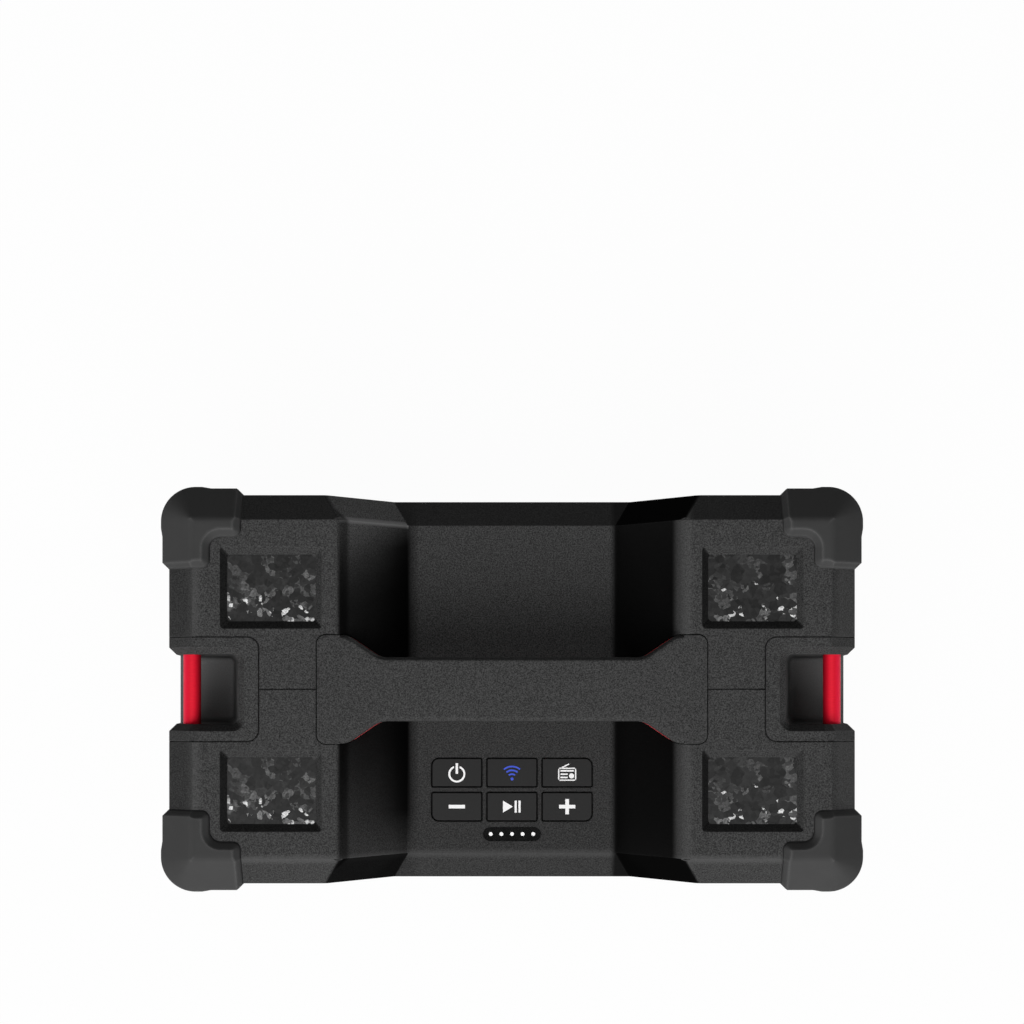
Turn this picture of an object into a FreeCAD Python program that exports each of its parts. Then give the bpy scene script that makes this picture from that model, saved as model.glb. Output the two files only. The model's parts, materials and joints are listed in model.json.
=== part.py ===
import FreeCAD, Part
import os
import re
from math import cos, radians, sin, sqrt

import Sketcher
from FreeCAD import Placement, Rotation, Vector

# A rugged wireless speaker, in millimetres.
# +X is the right side, +Y the back, +Z up.  The origin is on the ground, under the middle of the housing.
# The two housing halves meet on the plane Y = 0, and left and right are mirror images but for the rear ports.

SIZES = [
    # housing
    ("body_width", 332, "housing, side to side"),
    ("body_depth", 188, "housing, front to back"),
    ("body_height", 204, "housing, underside to the top of its raised ends"),
    ("wall", 3, "housing wall"),
    ("edge_chamfer", 12.5, "leg of the 45 degree bevel round every face"),
    ("valley_depth", 55, "deck below the raised ends"),
    ("valley_top", 165.2, "gap between the raised ends at the top"),
    ("valley_floor", 103.6, "width of the deck"),
    ("valley_brim_round", 6, "rounding where a raised end turns down to the deck"),
    ("valley_floor_round", 2.5, "rounding where that slope meets the deck"),
    ("lap_reach", 2.2, "rear half's tongue past the parting plane"),
    ("lap_gap", 0.2, "free space on each side of that tongue"),
    ("parting_gap", 0.3, "line between the two halves"),
    ("panel_gap", 0.3, "line round a panel that drops into the housing"),
    ("fit_gap", 0.05, "clearance of a fit, on each side"),
    # corner guards
    ("bumper_rise", 4, "rubber above the top and below the underside"),
    ("bumper_proud", 3.2, "rubber proud of the side walls"),
    ("bumper_bevel_skin", 3, "rubber over the housing's bevel"),
    ("bumper_arm", 36, "arm of a guard, along a top edge"),
    ("bumper_drop", 44, "arm of a guard, down the upright edge"),
    ("bumper_width", 21, "width of an arm"),
    ("bumper_corner_round", 16, "upright outer edge"),
    ("bumper_inner_round", 5.3, "inner corner of the L"),
    ("bumper_fold_round", 6, "folds between the flat top and the bevel"),
    ("bumper_arm_round", 4.2, "corners of the arm ends"),
    ("ball_reach", 20.4, "thicker outer corner, from the housing's corner"),
    ("ball_taper", 4.4, "length over which it fades into the arms"),
    ("ball_drop", 24, "thicker outer corner, down the upright edge"),
    ("ball_proud", 0.8, "how much thicker it is"),
    # windows
    ("window_side_margin", 25.7, "housing between a window's frame and the side"),
    ("window_brim_margin", 8.7, "housing between the frame and the valley"),
    ("window_end_margin", 25.5, "housing between the frame and the front or rear"),
    ("window_handle_margin", 2.6, "housing between the frame and the handle's pocket"),
    ("window_bezel_margin", 0.5, "free space between a window's tray and the strap anchor's lip"),
    ("window_depth", 4, "inlay's face below the top"),
    ("window_slope_x", 3.2, "run of the frame's slope, at the sides"),
    ("window_slope_y", 3.6, "run of the frame's slope, front and back"),
    ("window_round", 2.5, "corners of the frame"),
    ("inlay_thickness", 1.2, "inlay plate"),
    ("tray_wall", 2, "plastic under and round the inlay"),
    # strap anchors
    ("bezel_width", 44.2, "anchor's panel, from the side inwards"),
    ("bezel_breadth", 50, "anchor's panel, front to back"),
    ("bezel_round", 5.5, "inner corners of the panel"),
    ("bezel_floor", 3, "plastic under the notch"),
    ("bezel_lip", 1.6, "lip behind the housing wall"),
    ("bezel_lip_thickness", 2, "thickness of that lip"),
    ("notch_depth", 63, "notch below the top"),
    ("notch_rim_reach", 34.4, "notch at the top, from the side inwards"),
    ("notch_floor_reach", 27, "notch at its floor, from the side inwards"),
    ("notch_rim_breadth", 34, "notch at the top, front to back"),
    ("notch_floor_breadth", 31.4, "notch at its floor, front to back"),
    ("notch_round", 3, "inner corners of the notch"),
    ("rim_chamfer", 3.2, "bevel round the notch's mouth"),
    ("bar_diameter", 8.6, "strap bar"),
    ("bar_inset", 11, "strap bar's middle from the side"),
    ("bar_drop", 14, "strap bar's middle below the top"),
    ("bar_seat", 4, "how far each end of the bar sits in the panel"),
    # handle
    ("handle_seat", 11.2, "how far each end of the handle reaches past the valley's brim"),
    ("handle_end_breadth", 52.4, "its flared ends, front to back"),
    ("grip_breadth", 30.8, "its grip, front to back"),
    ("handle_end_length", 14.6, "straight part of the flared ends"),
    ("flare_length", 15.7, "narrowing from there to the grip"),
    ("handle_corner_round", 4.3, "corners of the flared ends"),
    ("flare_round", 10, "outer curve of the narrowing"),
    ("neck_round", 12, "inner curve of the narrowing"),
    ("cap_thickness", 12, "upper piece of the handle"),
    ("core_thickness", 10, "lower piece of the handle"),
    ("cap_edge_round", 0.4, "rounding of the upper piece's top edge where it is let in"),
    ("grip_edge_round", 2.4, "rounding of that edge over the valley"),
    ("core_set_in", 0.2, "how far the lower piece stands back from the upper one"),
    ("core_edge_round", 4, "rounding of the lower piece's under edge"),
    ("core_lip", 0.6, "how far the lower piece shows past the flanks"),
    ("handle_screw_inset", 7.8, "handle screws from the handle's end"),
    ("handle_screw_edge", 11.2, "handle screws from its long edges"),
    ("handle_screw_reach", 19, "length of their shank"),
    # push buttons and lights
    ("button_length", 24.9, "button, side to side"),
    ("button_breadth", 14.15, "button, front to back"),
    ("button_space_x", 2.6, "deck between two columns of buttons"),
    ("button_space_y", 2.85, "deck between the rows"),
    ("buttons_setback", 44, "middle of the two rows behind the front"),
    ("button_round", 0.8, "corners of a button"),
    ("group_round", 3.6, "the corners of the buttons that are also corners of the group"),
    ("button_edge_round", 0.5, "rounding of its top edge"),
    ("button_gap", 0.35, "gap round a button"),
    ("button_sunk", 0.6, "button's face below the deck"),
    ("button_flange", 0.8, "lip under the deck, on each side"),
    ("button_flange_thickness", 1.2, "thickness of that lip"),
    ("button_travel", 0.8, "how far a button goes down"),
    ("button_stem_radius", 2, "stem that presses the switch"),
    ("board_drop", 8.8, "key board's face below the deck's underside"),
    ("board_thickness", 1.6, "circuit boards"),
    ("board_margin", 3, "key board past the buttons and lights, and past its posts' middles"),
    ("post_clearance", 3.65, "posts' middles beside the buttons"),
    ("post_radius", 2, "posts"),
    ("switch_side", 6, "switch housing"),
    ("switch_height", 3.5, "switch housing"),
    ("plunger_radius", 1.75, "switch plunger"),
    ("plunger_height", 0.8, "switch plunger"),
    ("led_window_length", 28.5, "strip over the lights, side to side"),
    ("led_window_breadth", 6.7, "strip over the lights, front to back"),
    ("led_window_space", 3.2, "deck between the front row and that strip"),
    ("led_window_sunk", 0.2, "strip's face below the deck"),
    ("led_window_flange", 0.8, "lip under the deck, its width and thickness"),
    ("led_pitch", 5.3, "from light to light"),
    ("led_radius", 1.5, "one light"),
    # front grille and baffle
    ("grille_side_margin", 25, "housing beside the grille"),
    ("grille_foot_margin", 16, "housing under the grille"),
    ("grille_top_margin", 26, "housing over the grille in the raised ends"),
    ("grille_deck_margin", 19, "housing between the grille and the deck"),
    ("grille_valley_margin", 10.2, "half the width of its lower middle, past the deck's"),
    ("grille_cut", 18, "lower corners cut off"),
    ("grille_upper_cut", 13, "upper corners cut off"),
    ("grille_thickness", 1.5, "sheet of the grille"),
    ("grille_sunk", 0.8, "grille's face behind the front"),
    ("grille_ledge", 4, "ledge that the grille lies on"),
    ("baffle_setback", 14, "baffle's face behind the front"),
    ("baffle_thickness", 4, "wall that carries the woofers"),
    ("mesh_hole", 6, "hexagon hole, across its flats"),
    ("mesh_pitch", 8.4, "from hole to hole"),
    ("mesh_radius", 50, "round field of holes before a woofer"),
    # woofers
    ("woofer_x", 78, "woofer's middle from the centre plane"),
    ("woofer_z", 77, "woofer's middle above the ground"),
    ("flange_radius", 51, "woofer flange"),
    ("flange_thickness", 2, "woofer flange"),
    ("basket_mouth", 45, "basket's outer radius at the flange"),
    ("basket_floor", 25, "basket's outer radius at its floor"),
    ("basket_depth", 33, "flange to basket floor"),
    ("basket_wall", 1.5, "basket wall"),
    ("basket_floor_thickness", 5, "floor of the basket, the upper pole plate"),
    ("baffle_hole", 46, "radius of the baffle's hole"),
    ("ear_circle", 54, "radius of the woofer's screw circle"),
    ("ear_radius", 5, "screw ears on the flange"),
    ("ear_boss_radius", 4, "bosses behind the baffle for the woofer screws"),
    ("ear_boss_tip", 2, "those bosses past the tips of the screws"),
    ("basket_window", 20, "width of an opening in the basket"),
    ("basket_window_margin", 3, "metal above and below an opening"),
    ("plate_margin", 5, "magnet beside the upper pole plate"),
    ("roll_middle", 38.6, "middle of the surround's roll"),
    ("roll_radius", 4.4, "surround's roll"),
    ("roll_thickness", 0.6, "surround's rubber"),
    ("surround_seat", 46.5, "outer radius of the surround"),
    ("cone_mouth", 34.6, "cone's radius at the surround"),
    ("cone_lip", 3, "flat rim of the cone under the surround"),
    ("cone_depth", 15, "depth of the cone"),
    ("cone_thickness", 0.8, "cone's paper"),
    ("cone_neck_height", 1.2, "cone's glued edge on the coil"),
    ("cap_radius", 17, "dust cap"),
    ("cap_rise", 5, "height of the dust cap's dome"),
    ("coil_radius", 13.1, "outer radius of the coil former"),
    ("coil_wall", 0.3, "coil former"),
    ("coil_winding", 0.5, "thickness of the wound wire"),
    ("coil_top", 14, "upper end of the former below the flange's front"),
    ("coil_length", 24, "coil former"),
    ("winding_length", 7, "wound part of the coil"),
    ("winding_rise", 2, "bare former under the winding"),
    ("gap_clearance", 0.5, "free space on each side of the coil"),
    ("spider_outer", 31, "spider's outer radius"),
    ("spider_ledge", 28.5, "inner radius of the ledge that the spider is glued to"),
    ("spider_ledge_thickness", 1, "that ledge"),
    ("spider_depth", 17, "spider below the baffle's face"),
    ("spider_thickness", 0.6, "spider's cloth"),
    ("spider_wave", 1.2, "height of its ripples"),
    ("spider_steps", 8, "runs of its zigzag"),
    ("magnet_radius", 34, "magnet ring"),
    ("magnet_clearance", 1.9, "magnet ring behind the edge of the coil's gap"),
    ("magnet_thickness", 10, "magnet ring"),
    ("yoke_radius", 32, "back plate of the yoke"),
    ("yoke_thickness", 4, "back plate of the yoke"),
    ("pole_drop", 1, "pole's end below the upper pole plate"),
    ("woofer_screw_radius", 1.5, "woofer screws"),
    ("woofer_screw_head", 2.8, "radius of their heads"),
    ("woofer_screw_head_height", 2, "their heads"),
    ("woofer_screw_reach", 9, "woofer screws under the head"),
    # passive radiator and its slots
    ("radiator_z", 77, "passive radiator's middle above the ground"),
    ("radiator_ring", 50, "outer radius of its ring"),
    ("radiator_ring_wall", 2.5, "upright wall of the ring"),
    ("radiator_setback", 10, "surround behind the rear wall"),
    ("radiator_disc", 2, "thickness of its flat cone"),
    ("radiator_weight_radius", 13, "steel weight on the cone"),
    ("radiator_weight", 4, "thickness of the weight"),
    ("slot_field", 42, "radius of the round field of slots"),
    ("slot_count", 9, "slots in the rear wall"),
    ("slot_height", 4.6, "one slot"),
    ("slot_pitch", 8.6, "from slot to slot"),
    # rear ports and their cover
    ("port_x", 100, "middle of the ports"),
    ("port_z", 60, "middle of the ports above the ground"),
    ("cover_length", 56, "port cover, side to side"),
    ("cover_height", 36, "port cover, below its hinge"),
    ("cover_thickness", 3.4, "port cover"),
    ("cover_recess", 4.8, "depth of the recess round the cover"),
    ("bay_length", 46, "bay behind the cover"),
    ("bay_height", 24, "bay behind the cover"),
    ("bay_depth", 14, "bay's floor behind the rear wall"),
    ("bay_wall", 3, "wall of the bay"),
    ("hinge_tab", 3.8, "narrow part of the cover below the hinge"),
    ("hinge_swing_gap", 0.8, "free space over the cover's shoulders as it swings"),
    ("hinge_length", 40, "knuckle of the cover"),
    ("hinge_pin_length", 48, "hinge pin"),
    ("hinge_pin_radius", 1, "hinge pin"),
    ("knuckle_radius", 2.2, "knuckle of the cover"),
    ("knuckle_set_in", 2.3, "hinge axis behind the rear face"),
    ("hinge_top_gap", 1.2, "free space over the knuckle"),
    ("finger_notch", 16, "notch under the cover for a fingertip, side to side"),
    ("finger_notch_height", 4, "that notch, below the cover"),
    ("finger_notch_depth", 2.4, "that notch, behind the rear face"),
    ("port_panel_thickness", 2, "plate behind the bay"),
    ("port_panel_margin", 3, "how far that plate reaches past the bay"),
    ("socket_spread", 22, "from socket to socket"),
    ("charge_length", 9.4, "charging socket's mouth"),
    ("charge_height", 3.6, "charging socket's mouth"),
    ("socket_wall", 0.5, "wall of the charging socket's mouth"),
    ("tongue_set_in", 1.2, "tongue inside that mouth, on each side"),
    ("jack_radius", 4, "audio socket's collar"),
    ("jack_bore", 1.8, "audio socket's bore"),
    ("socket_proud", 1, "sockets' mouths before the plate"),
    ("socket_reach", 12, "sockets behind the plate"),
    ("socket_block", 12, "sockets' housings, side to side"),
    ("socket_block_height", 8, "sockets' housings"),
    # screws and bosses between the halves
    ("screw_radius", 2, "shell and handle screws"),
    ("screw_head_radius", 3.6, "their heads"),
    ("screw_head_height", 2.6, "their heads"),
    ("head_clearance", 0.5, "free space round a sunk head"),
    ("shell_screw_reach", 26, "shell screws under the head"),
    ("head_seat", 12, "heads behind the parting plane"),
    ("boss_radius", 6, "bosses round the screws"),
    ("front_boss_length", 22, "bosses in the front half"),
    ("side_boss_inset", 20, "bosses in the sides, from the side"),
    ("side_boss_z", 100, "bosses in the sides, above the ground"),
    ("low_boss_x", 60, "bosses by the underside, from the centre plane"),
    ("low_boss_rise", 19, "bosses by the underside, above it"),
    ("high_boss_gap", 11.7, "bosses in the raised ends, past the handle's end"),
    ("high_boss_drop", 20, "bosses in the raised ends, below the top"),
    ("rib_thickness", 3, "ribs that tie the front bosses to a wall"),
    # inside
    ("battery_side_margin", 28, "battery from the side"),
    ("battery_length", 68, "battery pack, side to side"),
    ("battery_breadth", 40, "battery pack, front to back"),
    ("battery_height", 58, "battery pack"),
    ("battery_round", 9, "its long edges"),
    ("main_board_length", 66, "main board, side to side"),
    ("main_board_height", 98, "main board"),
    ("main_board_rise", 14, "main board's middle above the ports'"),
    ("heat_sink_side", 30, "heat sink, both ways"),
    ("heat_sink_height", 12, "heat sink"),
    ("fin_thickness", 1.5, "fins of the heat sink"),
    ("fin_pitch", 4.75, "from fin to fin"),
    ("sink_base", 3, "base of the heat sink"),
    ("capacitor_radius", 5, "capacitors"),
    ("capacitor_height", 14, "capacitors"),
    ("capacitor_count", 4, "capacitors"),
    ("capacitor_pitch", 12, "from capacitor to capacitor, and from the board's edge"),
    ("capacitor_drop", 12, "capacitors below the board's middle"),
    ("chip_side", 10, "processor"),
    ("chip_thickness", 1, "processor"),
    ("chip_drop", 35, "processor's foot below the board's middle"),
    ("antenna_breadth", 14, "aerial strip, side to side"),
    ("antenna_thickness", 0.8, "aerial strip"),
    ("antenna_gap", 3, "between the aerial strip and the strap anchor's lip"),
    ("antenna_front_margin", 9, "aerial strip behind the parting plane"),
    ("antenna_rear_margin", 13, "aerial strip from the rear"),
]

NAMES = {alias for alias, number, meaning in SIZES}
PAST = "20"  # how far a large cutting shape runs past the housing
CLEAR = "1"  # how far a hole's tool runs past each face, and a rib into its wall
SAME = 0.02  # places nearer than this are one place

doc = FreeCAD.newDocument("Speaker")
sheet = doc.addObject("Spreadsheet::Sheet", "Sizes")
for row, (alias, number, meaning) in enumerate(SIZES, start=1):
    sheet.set(f"A{row}", meaning)
    sheet.set(f"B{row}", str(number))
    sheet.setAlias(f"B{row}", alias)
doc.recompute()

subparts = []


# Helpers that write sizes and places as formulas over the sheet

def formula(text):
    """The text with the name of each size pointing at its cell."""
    return re.sub(r"[a-z]\w*", lambda m: "Sizes." + m[0] if m[0] in NAMES else m[0], str(text))


def value(text):
    """What a formula comes to, in millimetres."""
    return float(sheet.evalExpression(formula(text)))


def bind(thing, **sizes):
    for name, text in sizes.items():
        thing.setExpression(name, formula(text))


def place(thing, x="0", y="0", z="0", turn=None):
    """Stand a thing at x, y, z, after turning it by (axis, degrees)."""
    if turn:
        thing.Placement = Placement(Vector(), Rotation(Vector(*turn[0]), turn[1]))
    for axis, text in (("x", x), ("y", y), ("z", z)):
        thing.setExpression(f"Placement.Base.{axis}", formula(text))


def subpart(thing, label):
    """Name a finished piece and note it for writing."""
    thing.Label = label
    subparts.append(thing)
    return thing


# Solids of simple form and what joins them

def box(name, x, y, z):
    """A block between two formulas along each axis."""
    thing = doc.addObject("Part::Box", name)
    bind(thing, Length=f"({x[1]}) - ({x[0]})", Width=f"({y[1]}) - ({y[0]})", Height=f"({z[1]}) - ({z[0]})")
    place(thing, x[0], y[0], z[0])
    return thing


TURNS = {"z": None, "x": ((0, 1, 0), 90), "y": ((1, 0, 0), -90)}


def cylinder(name, radius, start, length, along="z"):
    """A round bar from start, a triple of formulas, along +x, +y or +z."""
    thing = doc.addObject("Part::Cylinder", name)
    bind(thing, Radius=radius, Height=length)
    place(thing, *start, turn=TURNS[along])
    return thing


def fuse(name, things):
    thing = doc.addObject("Part::MultiFuse", name)
    thing.Shapes = things
    return thing


def cut(name, base, tools):
    thing = doc.addObject("Part::Cut", name)
    thing.Base = base
    thing.Tool = tools[0] if len(tools) == 1 else fuse(name + "_tools", tools)
    return thing


def common(name, base, tool):
    thing = doc.addObject("Part::Common", name)
    thing.Base = base
    thing.Tool = tool
    return thing


# Bodies drawn as sketches and grown from them

def new_body(name, x="0", y="0", z="0", turn=None, base=None):
    body = doc.addObject("PartDesign::Body", name)
    if base:
        body.BaseFeature = base
    place(body, x, y, z, turn)
    return body


def sketch(body, plane, outlines=(), circles=(), offset="0"):
    """Closed outlines of straight runs, and circles, with every corner and centre held by a formula."""
    drawing = body.newObject("Sketcher::SketchObject", "Sketch")
    support = next(f for f in body.Origin.OriginFeatures if f.Role == plane + "_Plane")
    drawing.AttachmentSupport = (support, "")
    drawing.MapMode = "FlatFace"
    drawing.setExpression("AttachmentOffset.Base.z", formula(offset))
    for outline in outlines:
        corners = [Vector(value(x), value(y), 0) for x, y in outline]
        lines = [
            drawing.addGeometry(Part.LineSegment(corner, corners[(i + 1) % len(corners)]))
            for i, corner in enumerate(corners)
        ]
        for i, line in enumerate(lines):
            following = lines[(i + 1) % len(lines)]
            drawing.addConstraint(Sketcher.Constraint("Coincident", line, 2, following, 1))
            hold(drawing, line, 1, outline[i])
    for x, y, radius in circles:
        circle = drawing.addGeometry(
            Part.Circle(Vector(value(x), value(y), 0), Vector(0, 0, 1), value(radius))
        )
        hold(drawing, circle, 3, (x, y))
        rule = drawing.addConstraint(Sketcher.Constraint("Radius", circle, value(radius)))
        drawing.setExpression(f"Constraints[{rule}]", formula(radius))
    return drawing


def hold(drawing, line, point, place_of):
    """Hold one point of a sketch at a pair of formulas."""
    for kind, text in zip(("DistanceX", "DistanceY"), place_of):
        rule = drawing.addConstraint(Sketcher.Constraint(kind, -1, 1, line, point, value(text)))
        drawing.setExpression(f"Constraints[{rule}]", formula(text))


def pad(body, drawing, length, both_ways=False):
    feature = body.newObject("PartDesign::Pad", "Pad")
    feature.Profile = drawing
    feature.Midplane = both_ways
    bind(feature, Length=length)
    return feature


def revolve(body, outline):
    """A ring whose half section is drawn in radius and height, turned about the body's own Z axis."""
    drawing = sketch(body, "XZ", [outline])
    feature = body.newObject("PartDesign::Revolution", "Revolution")
    feature.Profile = drawing
    feature.ReferenceAxis = (drawing, ["V_Axis"])
    feature.Angle = 360
    return feature


def edge_names(shape, wanted):
    """Names of the edges for which wanted(middle, direction) is true."""
    names = []
    for number, edge in enumerate(shape.Edges, start=1):
        if edge.Length < 1e-6:
            continue
        half = (edge.FirstParameter + edge.LastParameter) / 2
        if wanted(edge.valueAt(half), edge.tangentAt(half)):
            names.append(f"Edge{number}")
    return names


def dress(body, kind, size, wanted):
    """Round or bevel edges of what the body is so far."""
    doc.recompute()
    base = body.Tip
    feature = body.newObject("PartDesign::" + kind, kind)
    feature.Base = (base, edge_names(base.Shape, wanted))
    bind(feature, **{"Radius" if kind == "Fillet" else "Size": size})
    return feature


def near(a, b):
    return abs(a - b) < SAME


def along_x(way):
    return abs(way.x) > 0.999


def along_y(way):
    return abs(way.y) > 0.999


def along_z(way):
    return abs(way.z) > 0.999


def both_sides(half):
    """An outline that is the same left and right, from its right half, listed upwards."""
    return list(half) + [(f"-({x})", y) for x, y in reversed(half)]


def rectangle(length, breadth, x="0", y="0"):
    """Corners of a rectangle about x, y."""
    return [
        (f"({x}) + {a} * ({length}) / 2", f"({y}) + {b} * ({breadth}) / 2")
        for a, b in ((-1, -1), (1, -1), (1, 1), (-1, 1))
    ]


# Places that many pieces share

TOP = "(bumper_rise + body_height)"
BOTTOM = "bumper_rise"
DECK = f"({TOP} - valley_depth)"
FRONT = "(-body_depth / 2)"
REAR = "(body_depth / 2)"
SIDE = "(body_width / 2)"
VALLEY_SLOPE = "((valley_top - valley_floor) / 2 / valley_depth)"
BEZEL_INNER_X = f"({SIDE} - bezel_width)"
NOTCH_RIM_X = f"({SIDE} - notch_rim_reach)"
BAR_X = f"({SIDE} - bar_inset)"
HANDLE_END_X = "(valley_top / 2 + handle_seat)"
HANDLE_BOTTOM = f"({TOP} - cap_thickness - core_thickness)"
SIDES = (("left", -1), ("right", 1))
ENDS = (("front", -1), ("rear", 1))


# Housing

def valley_shift(inset):
    """How far the foot of the valley's slope moves outwards where the outline is drawn in by inset."""
    return f"(({inset}) * (sqrt(1 + {VALLEY_SLOPE}^2) - {VALLEY_SLOPE}))"


def housing_form(name, inset):
    """The block with its valley and bevels, drawn in by inset on every side."""
    shift = valley_shift(inset)
    side = f"({SIDE} - ({inset}))"
    top = f"({TOP} - ({inset}))"
    deck = f"({DECK} - ({inset}))"
    brim_x = f"(valley_top / 2 + {shift})"
    floor_x = f"(valley_floor / 2 + {shift})"
    leg = f"(edge_chamfer - ({inset}) * (2 - sqrt(2)))"
    body = new_body(name)
    half = [(side, f"{BOTTOM} + ({inset})"), (side, top), (brim_x, top), (floor_x, deck)]
    pad(body, sketch(body, "XZ", [both_sides(half)]), f"body_depth - 2 * ({inset})", both_ways=True)

    side_x = value(side)
    dress(body, "Chamfer", leg, lambda mid, way: not along_y(way) or near(abs(mid.x), side_x))

    bevel_y = value(f"{REAR} - ({inset}) - {leg}")
    face_y = value(f"{REAR} - ({inset})")

    def fold(x, z):
        """The fold along the valley and its two ends across the bevels."""
        def wanted(mid, way):
            straight = along_y(way) and near(abs(mid.x), x)
            in_bevel = near(abs(mid.y), (bevel_y + face_y) / 2) and abs(way.x) > 0.2 and abs(way.y) > 0.2
            run = (face_y - bevel_y) / abs(way.y) if abs(way.y) > 0.2 else 0
            start_x = abs(mid.x) - abs(way.x) * run / 2
            start_z = mid.z + abs(way.z) * run / 2
            return straight or (in_bevel and near(start_x, x) and near(start_z, z))
        return wanted

    dress(body, "Fillet", f"valley_brim_round - ({inset})", fold(value(brim_x), value(top)))
    dress(body, "Fillet", f"valley_floor_round + ({inset})", fold(value(floor_x), value(deck)))
    return body


def handle_form(name, low, high, grow="0", lip="0"):
    """The handle's plan, wider by grow all round, between two heights."""
    end_x = f"{HANDLE_END_X} + ({grow})"
    end_y = f"handle_end_breadth / 2 + ({grow})"
    grip_y = f"grip_breadth / 2 + ({grow})"
    flare = f"{HANDLE_END_X} - handle_end_length - ({lip})"
    neck = f"{HANDLE_END_X} - handle_end_length - flare_length - ({lip})"
    quarter = [(end_x, end_y), (flare, end_y), (neck, grip_y)]
    front = [(x, f"-({y})") for x, y in quarter]
    outline = (
        [(f"-({x})", y) for x, y in front]
        + list(reversed(front))
        + quarter
        + [(f"-({x})", y) for x, y in reversed(quarter)]
    )
    body = new_body(name)
    pad(body, sketch(body, "XY", [outline], offset=low), f"({high}) - ({low})")
    for x, size in (
        (end_x, f"handle_corner_round + ({grow})"),
        (flare, f"flare_round + ({grow})"),
        (neck, f"neck_round - ({grow})"),
    ):
        at = value(x)
        dress(body, "Fillet", size, lambda mid, way: along_z(way) and near(abs(mid.x), at))
    return body


def make_handle():
    """A grained cap over a coloured core, let into both raised ends and held by four screws from below."""
    middle = f"{TOP} - cap_thickness"
    ends = handle_form("cap_form", middle, TOP)
    grip = handle_form("grip_form", middle, TOP)
    for form, size in ((ends, "cap_edge_round"), (grip, "grip_edge_round")):
        dress(form, "Fillet", size, lambda mid, way: near(mid.z, value(TOP)))
    inner, outer = "-valley_top / 2", "valley_top / 2"
    span = box("grip_span", (inner, outer), (FRONT, REAR), (middle, f"{TOP} + {CLEAR}"))
    cap = fuse("cap", [cut("cap_ends", ends, [span]), common("cap_grip", grip, span)])
    core = handle_form("core_form", HANDLE_BOTTOM, middle, grow="-core_set_in", lip="core_lip")
    dress(core, "Fillet", "core_edge_round", lambda mid, way: near(mid.z, value(HANDLE_BOTTOM)))
    screw_x = f"({HANDLE_END_X} - handle_screw_inset)"
    screw_y = "(handle_end_breadth / 2 - handle_screw_edge)"
    places = [(f"{a} * {screw_x}", f"{b} * {screw_y}") for a in (-1, 1) for b in (-1, 1)]
    seat = f"({HANDLE_BOTTOM} - wall)"
    head_foot = f"({seat} - screw_head_height)"
    bores = [
        cylinder("handle_bore", "screw_radius + fit_gap", (x, y, seat), "handle_screw_reach + 2 * fit_gap")
        for x, y in places
    ]
    subpart(cut("handle_cap_cut", cap, bores), "handle_cap")
    subpart(cut("handle_core_cut", core, bores), "handle_core")
    screws = []
    for x, y in places:
        screws.append(cylinder("handle_shank", "screw_radius", (x, y, seat), "handle_screw_reach"))
        screws.append(cylinder("handle_head", "screw_head_radius", (x, y, head_foot), "screw_head_height"))
    subpart(fuse("handle_screw_group", screws), "handle_screws")
    return bores


def grille_outline(inset):
    """The grille's outline, which follows the housing's front, drawn in by inset."""
    diagonal = f"({inset}) * (sqrt(2) - 1)"
    shift = valley_shift(inset)
    half = f"({SIDE} - grille_side_margin)"
    low = f"({BOTTOM} + grille_foot_margin)"
    high = f"({TOP} - grille_top_margin)"
    middle_x = "(valley_floor / 2 + grille_valley_margin)"
    middle_z = f"({DECK} - grille_deck_margin)"
    return both_sides([
        (f"{half} - grille_cut - {diagonal}", f"{low} + ({inset})"),
        (f"{half} - ({inset})", f"{low} + grille_cut + {diagonal}"),
        (f"{half} - ({inset})", f"{high} - grille_upper_cut - {diagonal}"),
        (f"{half} - grille_upper_cut - {diagonal}", f"{high} - ({inset})"),
        (f"{middle_x} + {VALLEY_SLOPE} * ({high} - {middle_z}) + {shift}", f"{high} - ({inset})"),
        (f"{middle_x} + {shift}", f"{middle_z} - ({inset})"),
    ])


def front_prism(name, inset, from_y, to_y):
    """The grille's outline, drawn in by inset, standing between two places along Y."""
    body = new_body(name)
    drawing = sketch(body, "XZ", [grille_outline(inset)], offset=f"-({to_y})")
    pad(body, drawing, f"({to_y}) - ({from_y})")
    return body


BAFFLE_FACE = f"({FRONT} + baffle_setback)"
BAFFLE_BACK = f"({BAFFLE_FACE} + baffle_thickness)"
EAR_ANGLES = (45, 135, 225, 315)


def ear_places(side):
    """Where a woofer's screws stand, in X and Z."""
    return [
        (
            f"{side} * woofer_x + ear_circle * cos({angle} deg)",
            f"woofer_z + ear_circle * sin({angle} deg)",
        )
        for angle in EAR_ANGLES
    ]


BOSSES = (
    (f"({SIDE} - side_boss_inset)", "side_boss_z"),
    ("low_boss_x", f"({BOTTOM} + low_boss_rise)"),
    (f"({HANDLE_END_X} + high_boss_gap)", f"({TOP} - high_boss_drop)"),
)


def boss_places():
    """Where the housing's screws stand, in X and Z."""
    return [(f"{side} * {x}", z) for x, z in BOSSES for word, side in SIDES]


def boss_ribs():
    """Ribs that tie each front boss to the wall nearest to it."""
    half = "rib_thickness / 2"
    ribs = []
    for word, side in SIDES:
        (side_x, side_z), (low_x, low_z), (high_x, high_z) = ((f"({side} * {x})", z) for x, z in BOSSES)
        reach = sorted([side_x, f"({side} * ({SIDE} - wall / 2))"], key=value)
        spans = [
            (reach, (f"{side_z} - {half}", f"{side_z} + {half}")),
            ((f"{low_x} - {half}", f"{low_x} + {half}"), (f"{BOTTOM} + wall / 2", low_z)),
            ((f"{high_x} - {half}", f"{high_x} + {half}"), (high_z, f"{TOP} - wall / 2")),
        ]
        ribs += [box("boss_rib", x, ("-front_boss_length", "0"), z) for x, z in spans]
    return ribs


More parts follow.
